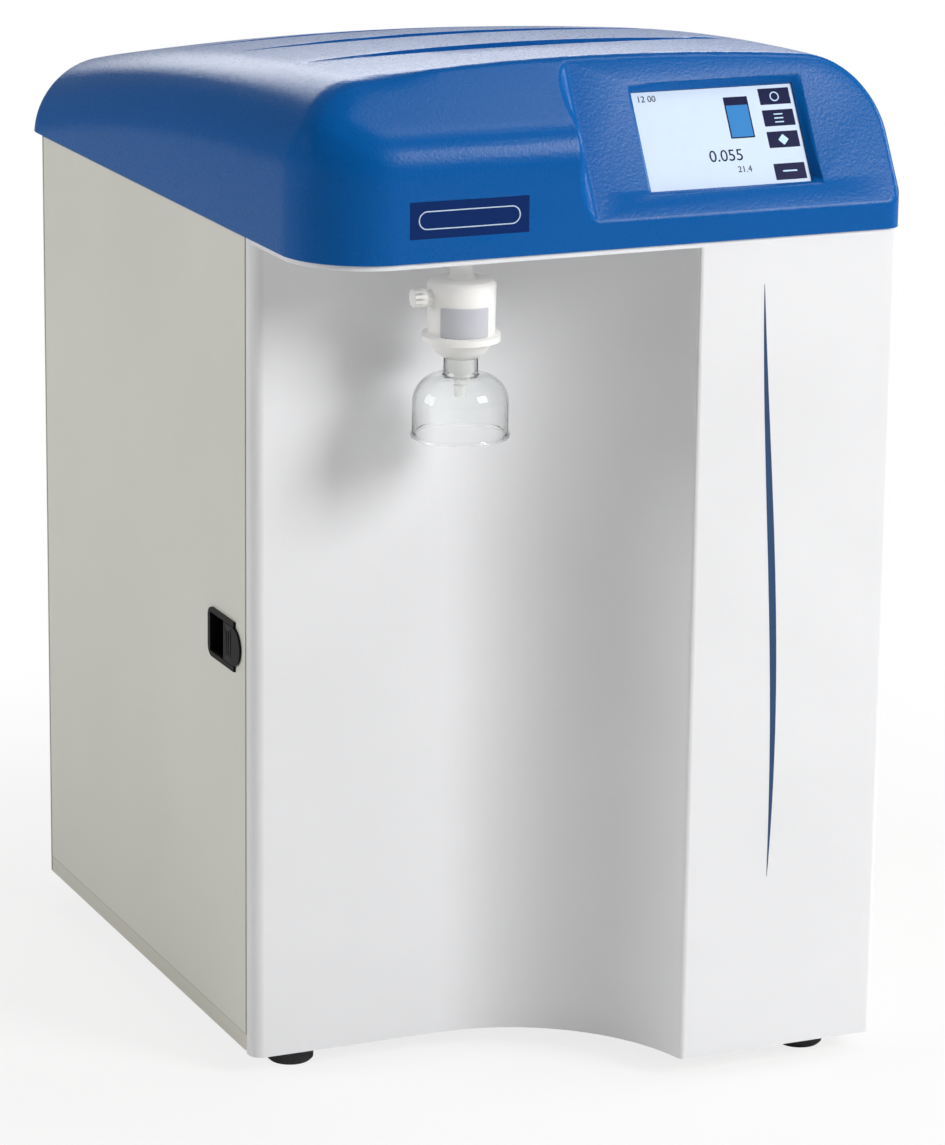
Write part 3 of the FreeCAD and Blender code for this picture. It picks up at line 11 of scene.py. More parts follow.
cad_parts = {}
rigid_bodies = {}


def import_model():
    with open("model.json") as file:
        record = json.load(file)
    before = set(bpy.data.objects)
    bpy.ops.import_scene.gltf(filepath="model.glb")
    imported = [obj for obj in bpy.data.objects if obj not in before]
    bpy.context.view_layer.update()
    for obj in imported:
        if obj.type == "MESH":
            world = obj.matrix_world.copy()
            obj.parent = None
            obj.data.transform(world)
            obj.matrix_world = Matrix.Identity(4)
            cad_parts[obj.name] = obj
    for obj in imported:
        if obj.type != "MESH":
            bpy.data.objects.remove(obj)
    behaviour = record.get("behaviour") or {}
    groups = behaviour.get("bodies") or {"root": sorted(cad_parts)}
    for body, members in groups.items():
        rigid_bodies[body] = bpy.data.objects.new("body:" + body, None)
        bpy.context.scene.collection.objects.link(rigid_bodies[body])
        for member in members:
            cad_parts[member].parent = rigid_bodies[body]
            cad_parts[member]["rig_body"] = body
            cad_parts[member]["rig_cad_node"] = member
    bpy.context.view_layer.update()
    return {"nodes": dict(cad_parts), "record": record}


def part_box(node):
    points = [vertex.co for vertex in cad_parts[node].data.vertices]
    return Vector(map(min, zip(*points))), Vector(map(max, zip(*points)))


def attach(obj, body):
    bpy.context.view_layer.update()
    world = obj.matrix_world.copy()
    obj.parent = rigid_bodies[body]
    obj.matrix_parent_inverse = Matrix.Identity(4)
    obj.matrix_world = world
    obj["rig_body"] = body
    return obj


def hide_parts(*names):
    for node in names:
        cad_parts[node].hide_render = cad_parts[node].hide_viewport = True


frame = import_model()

bl_info = {
    "name": "Ultrapure water system",
    "version": (1, 0, 0),
    "blender": (4, 5, 0),
    "location": "3D View > Sidebar > Water",
    "description": "Finishes, display picture and trim of a bench ultrapure water system",
    "category": "Object",
}

STRIP_LOW, STRIP_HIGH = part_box("name_strip")
FASCIA_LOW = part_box("front_fascia")[0]
CAPSULE_LOW, CAPSULE_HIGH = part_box("filter_lower_housing")
COVER_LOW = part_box("top_cover")[0]
WELD = 0.000002         # vertices of a CAD mesh that are nearer than this are one
ALIKE = 1e-6            # coordinates that differ by less are the same


# ---------------------------------------------------------------- sizes and colours
def length(name, description, default):
    """Setting in metres."""
    return FloatProperty(name=name, description=description, default=default, subtype="DISTANCE",
                         unit="LENGTH")


def angle(name, description, default):
    """Setting in radians, which Blender shows in degrees."""
    return FloatProperty(name=name, description=description, default=default, subtype="ANGLE",
                         unit="ROTATION")


def power(name, description, default):
    """Setting in watts."""
    return FloatProperty(name=name, description=description, default=default, subtype="POWER",
                         unit="POWER")


def colour(name, description, default):
    """Setting that is a linear colour."""
    return FloatVectorProperty(name=name, description=description, default=default, size=3, min=0.0, max=1.0,
                               subtype="COLOR")


class WaterFinishSettings(bpy.types.PropertyGroup):
    """Colours of the housing and its fittings."""
    cover_blue: colour("Cover blue", "Moulded cover", (0.0, 0.10, 0.37))
    fascia_white: colour("Fascia white", "Moulded front", (0.84, 0.845, 0.86))
    panel_grey: colour("Panel grey", "Painted side and rear sheets", (0.76, 0.76, 0.69))
    tray_grey: colour("Tray grey", "Painted base tray", (0.70, 0.69, 0.62))
    strip_blue: colour("Strip blue", "Film of the name strip", (0.002, 0.022, 0.125))
    stripe_blue: colour("Stripe blue", "Printed stripe on the column", (0.008, 0.050, 0.150))
    resin_white: colour("Resin white", "Outlet filter and its cap", (0.96, 0.955, 0.935))
    near_black: colour("Near black", "Latch, feet, switch and inlet", (0.005, 0.005, 0.006))
    screen_pale: colour("Screen ground", "Ground colour of the display picture", (0.60, 0.71, 0.86))
    screen_navy: colour("Screen keys", "Key colour of the display picture", (0.010, 0.012, 0.060))
    screen_tank: colour("Tank blue", "Level colour of the display picture", (0.035, 0.19, 0.47))
    steel_grey: colour("Steel grey", "Bare frame sheets", (0.50, 0.51, 0.52))


class WaterDisplaySettings(bpy.types.PropertyGroup):
    """Place and size of the display picture."""
    tilt: angle("Tilt", "Lean of the display face from upright", math.radians(29.8))
    sill: length("Sill", "Cover's lower edge to the display face", 0.015)
    across: length("Across", "Cover's left side to the middle of the window", 0.252)
    up: length("Up", "Sill to the middle of the window, along the face", 0.046)
    depth: length("Depth", "Display face down to the glass", 0.0062)
    width: length("Width", "Width of the picture", 0.0986)
    height: length("Height", "Height of the picture", 0.0576)
    layer: length("Layer", "Thickness of each printed layer", 0.00006)


class WaterTrimSettings(bpy.types.PropertyGroup):
    """Sizes of the printed and moulded trim."""
    stripe_width: length("Stripe width", "Widest part of the column stripe", 0.0042)
    stripe_low: length("Stripe low", "Lower tip of the stripe above the bench", 0.116)
    stripe_high: length("Stripe high", "Upper tip of the stripe above the bench", 0.461)
    outline_width: length("Outline width", "Line width on the name strip", 0.0006)
    capsule_radius: length("Capsule radius", "Radius of the filter body", 0.019)


class WaterStageSettings(bpy.types.PropertyGroup):
    """Camera, floor and lamps."""
    camera_place: FloatVectorProperty(name="Camera place", description="Camera position", size=3,
                                      unit="LENGTH", default=(-1.06973, -2.46590, 0.97286))
    camera_yaw: angle("Yaw", "Heading of the camera, clockwise from +Y", 0.4176)
    camera_pitch: angle("Pitch", "How far the camera looks down", 0.2645)
    camera_roll: angle("Roll", "Camera's turn about its own line of sight", 0.0120)
    focal_length: FloatProperty(name="Focal length", description="For a frame 36 mm on its longer side",
                                default=145.88, subtype="DISTANCE_CAMERA", unit="CAMERA")
    key_power: power("Key lamp", "Power of the front right lamp", 83.0)
    top_power: power("Top lamp", "Power of the overhead lamp", 11.0)
    rim_power: power("Rim lamp", "Power of the lamp at the right", 18.0)
    side_power: power("Side lamp", "Power of the lamp at the left", 38.0)
    rear_power: power("Rear lamp", "Power of the wide lamp behind", 27.0)
    world_level: FloatProperty(name="World level", description="Strength of the even surround", default=0.17)
    floor_radius: length("Floor radius", "Radius of the pale floor", 6.0)


# ---------------------------------------------------------------- modelling helpers
def settings(name):
    """One of the scene's groups of settings."""
    return getattr(bpy.context.scene, name)


def deselect():
    """Leave edit mode with nothing selected."""
    if bpy.context.object and bpy.context.object.mode != "OBJECT":
        bpy.ops.object.mode_set(mode="OBJECT")
    bpy.ops.object.select_all(action="DESELECT")


def only(piece):
    """Make one piece the selected, active one."""
    deselect()
    piece.select_set(True)
    bpy.context.view_layer.objects.active = piece


def named(name):
    """Name the new active piece."""
    piece = bpy.context.object
    piece.name = name
    piece.data.name = name
    return piece


def settle(piece):
    """Put a piece's place into its mesh."""
    only(piece)
    bpy.ops.object.transform_apply(location=True, rotation=True, scale=True)


def slab(name, low, high):
    """Box between two corners."""
    deselect()
    middle = [(a + b) / 2 for a, b in zip(low, high)]
    bpy.ops.mesh.primitive_cube_add(size=1.0, location=middle)
    piece = named(name)
    piece.scale = [b - a for a, b in zip(low, high)]
    settle(piece)
    return piece


def pick_edges(piece, wanted):
    """In edit mode, select the edges for which wanted(first, second) is true."""
    bpy.ops.mesh.select_mode(type="EDGE")
    bpy.ops.mesh.select_all(action="DESELECT")
    mesh = bmesh.from_edit_mesh(piece.data)
    for edge in mesh.edges:
        edge.select_set(wanted(edge.verts[0].co, edge.verts[1].co))
    bmesh.update_edit_mesh(piece.data)


def pick_faces(piece, wanted):
    """In edit mode, select the faces for which wanted(centre, normal) is true."""
    bpy.ops.mesh.select_mode(type="FACE")
    bpy.ops.mesh.select_all(action="DESELECT")
    mesh = bmesh.from_edit_mesh(piece.data)
    for face in mesh.faces:
        face.select_set(wanted(face.calc_center_median(), face.normal))
    bmesh.update_edit_mesh(piece.data)


def round_edges(piece, wanted, width, segments=3):
    """Bevel the edges that a test picks."""
    only(piece)
    bpy.ops.object.mode_set(mode="EDIT")
    pick_edges(piece, wanted)
    bpy.ops.mesh.bevel(offset=width, segments=segments, profile=0.5)
    bpy.ops.object.mode_set(mode="OBJECT")


def rounded_slab(name, low, high, corner):
    """Thin plate between two corners, with its upright edges rounded."""
    piece = slab(name, low, high)
    round_edges(piece, lambda a, b: abs(a.x - b.x) + abs(a.y - b.y) < ALIKE, corner)
    return piece


def copied(piece, name, shift):
    """Copy of a piece with its own mesh, moved by a shift."""
    only(piece)
    bpy.ops.object.duplicate()
    bpy.ops.transform.translate(value=shift)
    bpy.ops.object.transform_apply(location=True, rotation=False, scale=False)
    return named(name)


def raise_plate(piece, rise):
    """Give a flat face its thickness."""
    only(piece)
    bpy.ops.object.mode_set(mode="EDIT")
    bpy.ops.mesh.select_all(action="SELECT")
    bpy.ops.mesh.extrude_region_move(TRANSFORM_OT_translate={"value": rise})
    bpy.ops.mesh.select_all(action="SELECT")
    bpy.ops.mesh.normals_make_consistent(inside=False)
    bpy.ops.object.mode_set(mode="OBJECT")


def hollow_plate(piece, line):
    """Leave only a border of a flat face."""
    only(piece)
    bpy.ops.object.mode_set(mode="EDIT")
    bpy.ops.mesh.select_mode(type="FACE")
    bpy.ops.mesh.select_all(action="SELECT")
    bpy.ops.mesh.inset(thickness=line)
    bpy.ops.mesh.delete(type="FACE")
    bpy.ops.object.mode_set(mode="OBJECT")


def smooth(piece, degrees=30.0):
    """Smooth shading that follows the large faces, with creases kept."""
    only(piece)
    bpy.ops.object.shade_smooth_by_angle(angle=math.radians(degrees))
    bpy.ops.object.modifier_add(type="WEIGHTED_NORMAL")
    piece.modifiers[-1].keep_sharp = True
    bpy.ops.object.modifier_apply(modifier=piece.modifiers[-1].name)


def finish_piece(piece, body, material):
    """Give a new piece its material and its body."""
    piece.data.materials.clear()
    piece.data.materials.append(material)
    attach(piece, body)


def body_of(node):
    """The body that carries a CAD node."""
    return next(name for name, nodes in frame["record"]["behaviour"]["bodies"].items() if node in nodes)


def smooth_copy(node, material, degrees=30.0, shape=None):
    """Smooth-shaded copy of a CAD node, which stands for it; shape may rework its mesh first."""
    deselect()
    source = frame["nodes"][node]
    source.select_set(True)
    bpy.context.view_layer.objects.active = source
    bpy.ops.object.duplicate()
    piece = bpy.context.object
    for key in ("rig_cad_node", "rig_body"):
        if key in piece:
            del piece[key]
    world = piece.matrix_world.copy()
    piece.parent = None
    piece.matrix_world = world
    named(node + "_shell")
    bpy.ops.object.mode_set(mode="EDIT")
    bpy.ops.mesh.select_all(action="SELECT")
    bpy.ops.mesh.remove_doubles(threshold=WELD)
    bpy.ops.object.mode_set(mode="OBJECT")
    if shape:
        shape(piece)
    smooth(piece, degrees)
    finish_piece(piece, body_of(node), material)
    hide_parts(node)
    return piece


def dress(node, material):
    """Give a CAD node that keeps its own shape a better material."""
    mesh = frame["nodes"][node].data
    mesh.materials.clear()
    mesh.materials.append(material)


# ---------------------------------------------------------------- materials
def new_material(name):
    """A node material, its tree and its shader."""
    material = bpy.data.materials.new(name)
    material.use_nodes = True
    tree = material.node_tree
    return material, tree, tree.nodes["Principled BSDF"]


def object_noise(tree, scale, detail=3.0, stretch=(1.0, 1.0, 1.0)):
    """Noise in the piece's own coordinates; its scale is about the number of spots in a metre."""
    place = tree.nodes.new("ShaderNodeTexCoord")
    mapping = tree.nodes.new("ShaderNodeMapping")
    mapping.inputs["Scale"].default_value = stretch
    noise = tree.nodes.new("ShaderNodeTexNoise")
    noise.inputs["Scale"].default_value = scale
    noise.inputs["Detail"].default_value = detail
    tree.links.new(place.outputs["Object"], mapping.inputs["Vector"])
    tree.links.new(mapping.outputs["Vector"], noise.inputs["Vector"])
    return noise


def vary_colour(tree, shader, base, noise, spread):
    """Base colour that drifts a little, by a noise."""
    ramp = tree.nodes.new("ShaderNodeValToRGB")
    stops = ((0.3, 1 - spread), (0.7, 1 + spread))
    for element, (position, share) in zip(ramp.color_ramp.elements, stops):
        element.position = position
        element.color = (*[min(c * share, 1) for c in base], 1)
    tree.links.new(noise.outputs["Fac"], ramp.inputs["Fac"])
    tree.links.new(ramp.outputs["Color"], shader.inputs["Base Color"])


def add_bump(tree, shader, height, distance, strength=1.0):
    """Surface grain from a height output."""
    bump = tree.nodes.new("ShaderNodeBump")
    bump.inputs["Strength"].default_value = strength
    bump.inputs["Distance"].default_value = distance
    tree.links.new(height, bump.inputs["Height"])
    tree.links.new(bump.outputs["Normal"], shader.inputs["Normal"])


def vary_roughness(tree, shader, roughness, noise, spread):
    """Roughness that drifts a little, by a noise."""
    span = tree.nodes.new("ShaderNodeMapRange")
    span.inputs["To Min"].default_value = roughness * (1 - spread)
    span.inputs["To Max"].default_value = roughness * (1 + spread)
    tree.links.new(noise.outputs["Fac"], span.inputs["Value"])
    tree.links.new(span.outputs["Result"], shader.inputs["Roughness"])


def moulded(name, base, roughness, grain=0.0, grain_scale=900.0, spread=0.02, **sockets):
    """Moulded plastic with a fine cast grain."""
    material, tree, shader = new_material(name)
    vary_colour(tree, shader, base, object_noise(tree, scale=9.0), spread)
    fine = object_noise(tree, grain_scale, detail=2.0)
    vary_roughness(tree, shader, roughness, fine, spread=0.1)
    if grain:
        add_bump(tree, shader, fine.outputs["Fac"], grain)
    for socket, value in sockets.items():
        shader.inputs[socket.replace("_", " ")].default_value = value
    return material


def sheet_metal(name, base, roughness, grain, metallic=0.0, stretch=(1.0, 1.0, 1.0)):
    """Painted or bare sheet with a fine texture."""
    material, tree, shader = new_material(name)
    vary_colour(tree, shader, base, object_noise(tree, scale=6.0), spread=0.025)
    fine = object_noise(tree, scale=1400.0, detail=2.0, stretch=stretch)
    vary_roughness(tree, shader, roughness, fine, spread=0.15)
    add_bump(tree, shader, fine.outputs["Fac"], grain)
    shader.inputs["Metallic"].default_value = metallic
    return material


def shade_above(material, height, level, blend=0.0008):
    """Darken a material above a height, where what overhangs it keeps the light away."""
    tree = material.node_tree
    shader = tree.nodes["Principled BSDF"]
    base = shader.inputs["Base Color"].links[0].from_socket
    place = tree.nodes.new("ShaderNodeTexCoord")
    axes = tree.nodes.new("ShaderNodeSeparateXYZ")
    tree.links.new(place.outputs["Object"], axes.inputs["Vector"])
    span = tree.nodes.new("ShaderNodeMapRange")
    span.inputs["From Min"].default_value = height
    span.inputs["From Max"].default_value = height + blend
    span.inputs["To Min"].default_value = 1.0
    span.inputs["To Max"].default_value = level
    tree.links.new(axes.outputs["Z"], span.inputs["Value"])
    scale = tree.nodes.new("ShaderNodeVectorMath")
    scale.operation = "SCALE"
    tree.links.new(base, scale.inputs["Vector"])
    tree.links.new(span.outputs["Result"], scale.inputs["Scale"])
    tree.links.new(scale.outputs["Vector"], shader.inputs["Base Color"])


def clear_moulding(name, base, roughness, refraction=1.45):
    """Clear plastic with faint flow marks."""
    material, tree, shader = new_material(name)
    vary_colour(tree, shader, base, object_noise(tree, scale=30.0), spread=0.01)
    flow = object_noise(tree, scale=60.0, detail=1.0)
    vary_roughness(tree, shader, roughness, flow, spread=0.3)
    shader.inputs["Transmission Weight"].default_value = 1.0
    shader.inputs["IOR"].default_value = refraction
    return material


def printed(name, base, roughness=0.4, glow=0.0, shine=0.5):
    """Flat print or a lit area of the display."""
    material, tree, shader = new_material(name)
    vary_colour(tree, shader, base, object_noise(tree, scale=120.0), spread=0.015)
    shader.inputs["Roughness"].default_value = roughness
    shader.inputs["Specular IOR Level"].default_value = shine
    if glow:
        shader.inputs["Emission Color"].default_value = (*base, 1)
        shader.inputs["Emission Strength"].default_value = glow
    return material


def seen_directly(tree):
    """Output that is 1 where the camera looks straight, or through clear plastic, at a surface."""
    rays = tree.nodes.new("ShaderNodeLightPath")
    seen = tree.nodes.new("ShaderNodeMath")
    seen.operation = "MAXIMUM"
    tree.links.new(rays.outputs["Is Camera Ray"], seen.inputs[0])
    tree.links.new(rays.outputs["Is Transmission Ray"], seen.inputs[1])
    return seen.outputs[0]


# ---------------------------------------------------------------- operators
class WaterOperator(bpy.types.Operator):
    """Shared settings of the operators."""
    bl_options = {"REGISTER", "UNDO"}

    @property
    def finish(self):
        """The colour settings."""
        return settings("water_finish")


class WATER_OT_housing(WaterOperator):
    """Dress the moulded cover, the moulded front and the painted sheets"""
    bl_idname = "water.housing"
    bl_label = "Housing"
    flange_shade: length("Flange shade", "Height above which the door shades the tray's flange", 0.0216)
    corner_reach: length("Corner reach", "Extent of the rounded front-left corner", 0.090)
    corner_fade: length("Corner fade", "Width over which the rounding fades out", 0.030)
    corner_base: length("Corner base", "Cover's lower edge to the rounded zone", 0.030)
    corner_grid: length("Corner grid", "Mesh spacing in the rounded zone", 0.003)
    corner_ball: length("Corner ball", "Radius of the ball that rounds the creases", 0.024)
    corner_passes: IntProperty(name="Passes", description="Steps that settle the ball", default=24)
    smooth_passes: IntProperty(name="Smoothing", description="Passes that even out the facets", default=8)
    BALL_STEP = 0.2                     # share of the way to the skin that the ball moves in a step
    BALL_CHECKS = 3                     # times that a step pushes the ball back inside the skin
    FACE_TURN = math.radians(25)        # most that two triangles may lean apart and still pair up
    CORNER_SKEW = math.radians(80)      # most that the corners of such a pair may be out of square

    def execute(self, context):
        cover = moulded("cover_grain", self.finish.cover_blue, roughness=0.28, grain=0.00012,
                        grain_scale=560.0, Specular_IOR_Level=0.15)
        fascia = moulded("fascia_gloss", self.finish.fascia_white, roughness=0.42, grain=0.00003,
                         grain_scale=500.0, IOR=1.4)
        paint = sheet_metal("panel_paint", self.finish.panel_grey, roughness=0.42, grain=0.00004)
        tray = sheet_metal("tray_paint", self.finish.tray_grey, roughness=0.42, grain=0.00004)
        shade_above(tray, self.flange_shade, level=0.4)
        smooth_copy("top_cover", cover, degrees=32, shape=self.round_corner)
        smooth_copy("front_fascia", fascia, degrees=32, shape=self.even_out)
        for node in ("side_door", "right_side_panel", "back_panel"):
            dress(node, paint)
        dress("base_tray", tray)
        return {"FINISHED"}

    def even_out(self, piece):
        """Pair the fascia's triangles, so that its small rounds shade evenly."""
        only(piece)
        bpy.ops.object.mode_set(mode="EDIT")
        bpy.ops.mesh.select_all(action="SELECT")
        bpy.ops.mesh.tris_convert_to_quads(face_threshold=self.FACE_TURN, shape_threshold=self.CORNER_SKEW)
        bpy.ops.object.mode_set(mode="OBJECT")

    def round_corner(self, piece):
        """Round the creases of the upright front-left corner as a ball rolled inside it would."""
        base = COVER_LOW + Vector((0, 0, self.corner_base))

        def in_corner(point, margin=0.0):
            reach = self.corner_reach + margin
            return point.x < base.x + reach and point.y < base.y + reach and point.z > base.z - margin

        only(piece)
        bpy.ops.object.mode_set(mode="EDIT")
        self.cut_grid(piece, base, in_corner)
        pick_faces(piece, lambda centre, normal: in_corner(centre))
        bpy.ops.mesh.quads_convert_to_tris()
        mesh = bmesh.from_edit_mesh(piece.data)
        outward = Vector((-1, -1, 1))
        outer = [face for face in mesh.faces
                 if in_corner(face.calc_center_median(), self.corner_ball) and face.normal.dot(outward) > 0]
        mesh.verts.index_update()
        skin = BVHTree.FromPolygons([vert.co.copy() for vert in mesh.verts],
                                    [[vert.index for vert in face.verts] for face in outer])
        moves = []
        for vert in mesh.verts:
            if in_corner(vert.co):
                point, normal = skin.find_nearest(vert.co)[:2]
                moves.append((vert, (self.rolled(skin, point, normal) - point) * self.fade(point - base)))
        for vert, move in moves:
            vert.co += move
        bpy.ops.mesh.select_mode(type="VERT")
        for vert in mesh.verts:
            vert.select_set(in_corner(vert.co) and self.fade(vert.co - base) > 0)
        mesh.normal_update()
        bmesh.update_edit_mesh(piece.data)
        bpy.ops.mesh.vertices_smooth(factor=0.5, repeat=self.smooth_passes)
        bpy.ops.object.mode_set(mode="OBJECT")

    def cut_grid(self, piece, base, in_corner):
        """Cut the cover at the zone's sides and a ball further out, and the zone along an even grid."""
        steps = round(self.corner_reach / self.corner_grid)
        sides = (self.corner_reach, self.corner_reach + self.corner_ball)
        bottoms = (0.0, -self.corner_ball)
        for axis, cuts in enumerate((sides, sides, bottoms)):
            plane = Vector((0, 0, 0))
            plane[axis] = 1
            for cut in cuts:
                bpy.ops.mesh.select_all(action="SELECT")
                bpy.ops.mesh.bisect(plane_co=base + plane * cut, plane_no=plane)
            for step in range(1, steps):
                pick_faces(piece, lambda centre, normal: in_corner(centre))
                bpy.ops.mesh.bisect(plane_co=base + plane * step * self.corner_grid, plane_no=plane)

    def rolled(self, skin, point, normal):
        """The place on the rolled ball that is nearest to a point of the skin."""
        ball = self.corner_ball
        centre = point - normal * ball
        for _ in range(self.corner_passes):
            centre = centre.lerp(point, self.BALL_STEP)
            for _ in range(self.BALL_CHECKS):
                touch = skin.find_nearest(centre)[0]
                if (centre - touch).length < ball:
                    centre = touch + (centre - touch).normalized() * ball
        return centre + (point - centre).normalized() * ball

    def fade(self, offset):
        """Share of the rounding at a place, which fades out at the zone's sides and faster at its bottom."""
        room = min(self.corner_reach - offset.x, self.corner_reach - offset.y, offset.z * 2)
        share = max(0.0, min(1.0, room / self.corner_fade))
        return share * share * (3 - 2 * share)


class WATER_OT_frame(WaterOperator):
    """Dress the frame, the brackets and the other bare metal inside"""
    bl_idname = "water.frame"
    bl_label = "Frame and brackets"

    def execute(self, context):
        zinc = sheet_metal("zinc_sheet", self.finish.steel_grey, roughness=0.34, grain=0.00002, metallic=0.9)
        steel = sheet_metal("polished_steel", (0.62, 0.62, 0.61), roughness=0.16, grain=0.000004,
                            metallic=1.0, stretch=(1.0, 1.0, 12.0))
        for node in ("top_deck", "front_left_post", "front_right_post", "rear_left_post", "rear_right_post",
                     "mounting_plate", "head_bracket", "inlet_valve_bracket", "power_supply"):
            dress(node, zinc)
        smooth_copy("lamp_chamber", steel)
        for node in ("door_hinge_pins", "back_screws", "foot_screws", "screen_screws"):
            smooth_copy(node, steel)
        return {"FINISHED"}


class WATER_OT_treatment(WaterOperator):
    """Dress the cartridges, heads, pump, valves, tubes and boards"""
    bl_idname = "water.treatment"
    bl_label = "Treatment train"

    def execute(self, context):
        shell = moulded("cartridge_shell", (0.78, 0.80, 0.81), roughness=0.32, grain=0.00002)
        head = moulded("head_blue", (0.02, 0.06, 0.20), roughness=0.4, grain=0.00005)
        dark = moulded("dark_fitting", self.finish.near_black, roughness=0.4, grain=0.00005)
        white = moulded("white_fitting", (0.82, 0.82, 0.80), roughness=0.35, grain=0.00002)
        grey = moulded("grey_fitting", (0.22, 0.225, 0.23), roughness=0.42, grain=0.00004)
        tube = moulded("tube_resin", (0.80, 0.80, 0.77), roughness=0.3)
        board = moulded("board_green", (0.012, 0.09, 0.035), roughness=0.3, grain_scale=300.0, spread=0.12)
        for node in ("front_cartridge", "rear_cartridge"):
            smooth_copy(node, shell)
        for node in ("front_cartridge_head", "rear_cartridge_head"):
            smooth_copy(node, head)
        for node in ("pump_motor", "pump_head", "lamp_chamber_caps"):
            smooth_copy(node, dark)
        for node in ("inlet_valve", "dispense_valve", "outlet_fitting", "door_hinge_bushes"):
            smooth_copy(node, white)
        for node in ("lamp_chamber_clips", "resistivity_cell"):
            smooth_copy(node, grey)
        smooth_copy("process_tubes", tube)
        for node in ("main_board", "screen_board"):
            dress(node, board)
        for node in ("pump_cradle", "door_magnet", "screen_lcd"):
            dress(node, dark)
        return {"FINISHED"}


class WATER_OT_outlet(WaterOperator):
    """Dress the outlet filter, its cap and label, and the clear bell"""
    bl_idname = "water.outlet"
    bl_label = "Outlet filter and bell"
    LABEL_HEIGHT = 0.0165
    LABEL_MIDDLE = 0.0105               # above the lower housing
    LABEL_FACING = (-0.30, -0.954, 0)   # outward, at its middle
    LABEL_HALF_ANGLE = math.radians(43)  # how far it reaches round to each side
    LABEL_CORNER = 0.0011
    LABEL_LIFT = 0.0001                 # off the filter's body
    LABEL_THICKNESS = 0.00008

    def execute(self, context):
        resin = moulded("filter_resin", self.finish.resin_white, roughness=0.3)
        membrane = moulded("membrane_pleats", (0.85, 0.85, 0.82), roughness=0.7, grain=0.0002,
                           grain_scale=300.0)
        clear = clear_moulding("bell_clear", (0.97, 0.98, 0.98), roughness=0.03)
        for node in ("filter_upper_housing", "filter_lower_housing", "filter_vent_cap"):
            smooth_copy(node, resin)
        smooth_copy("filter_element", membrane)
        smooth_copy("filling_bell", clear)
        self.label()
        return {"FINISHED"}

    def label(self):
        """Bare silver patch that follows the filter's body."""
        middle = (CAPSULE_LOW + CAPSULE_HIGH) / 2
        place = (middle.x, middle.y, CAPSULE_HIGH.z + self.LABEL_MIDDLE)
        radius = settings("water_trim").capsule_radius + self.LABEL_LIFT
        facing = Vector(self.LABEL_FACING)
        least = math.cos(self.LABEL_HALF_ANGLE)
        deselect()
        bpy.ops.mesh.primitive_cylinder_add(vertices=96, radius=radius, depth=self.LABEL_HEIGHT,
                                            end_fill_type="NOTHING", location=place)
        patch = named("capsule_label")
        settle(patch)
        bpy.ops.object.mode_set(mode="EDIT")
        pick_faces(patch, lambda centre, normal: normal.dot(facing) < least)
        bpy.ops.mesh.delete(type="FACE")
        bpy.ops.mesh.select_mode(type="VERT")
        bpy.ops.mesh.select_all(action="DESELECT")
        mesh = bmesh.from_edit_mesh(patch.data)
        for vert in mesh.verts:
            vert.select = len(vert.link_faces) == 1
        bmesh.update_edit_mesh(patch.data)
        bpy.ops.mesh.bevel(offset=self.LABEL_CORNER, segments=4, affect="VERTICES")
        bpy.ops.mesh.select_all(action="SELECT")
        bpy.ops.mesh.solidify(thickness=-self.LABEL_THICKNESS)
        bpy.ops.object.mode_set(mode="OBJECT")
        silver = printed("label_silver", (0.58, 0.59, 0.63), roughness=0.35)
        finish_piece(patch, "cabinet", silver)


class WATER_OT_controls(WaterOperator):
    """Dress the latch, feet, rear ports, mains inlet and switch"""
    bl_idname = "water.controls"
    bl_label = "Latch, feet and rear fittings"

    def execute(self, context):
        dark = moulded("latch_black", self.finish.near_black, roughness=0.36, grain=0.00003,
                       Specular_IOR_Level=0.1)
        rubber = moulded("foot_rubber", (0.018, 0.018, 0.02), roughness=0.5, grain=0.00006,
                         grain_scale=700.0)
        grey = moulded("port_grey", (0.20, 0.205, 0.21), roughness=0.4, grain=0.00003)
        white = moulded("collet_white", (0.78, 0.78, 0.76), roughness=0.35)
        for node in ("latch_body", "latch_slide", "mains_inlet", "fuse_drawer", "switch_body",
                     "switch_rocker"):
            smooth_copy(node, dark)
        smooth_copy("rubber_feet", rubber)
        for port in ("feed_water", "reservoir", "drain"):
            smooth_copy(port + "_port", grey)
            smooth_copy(port + "_collet", white)
        return {"FINISHED"}


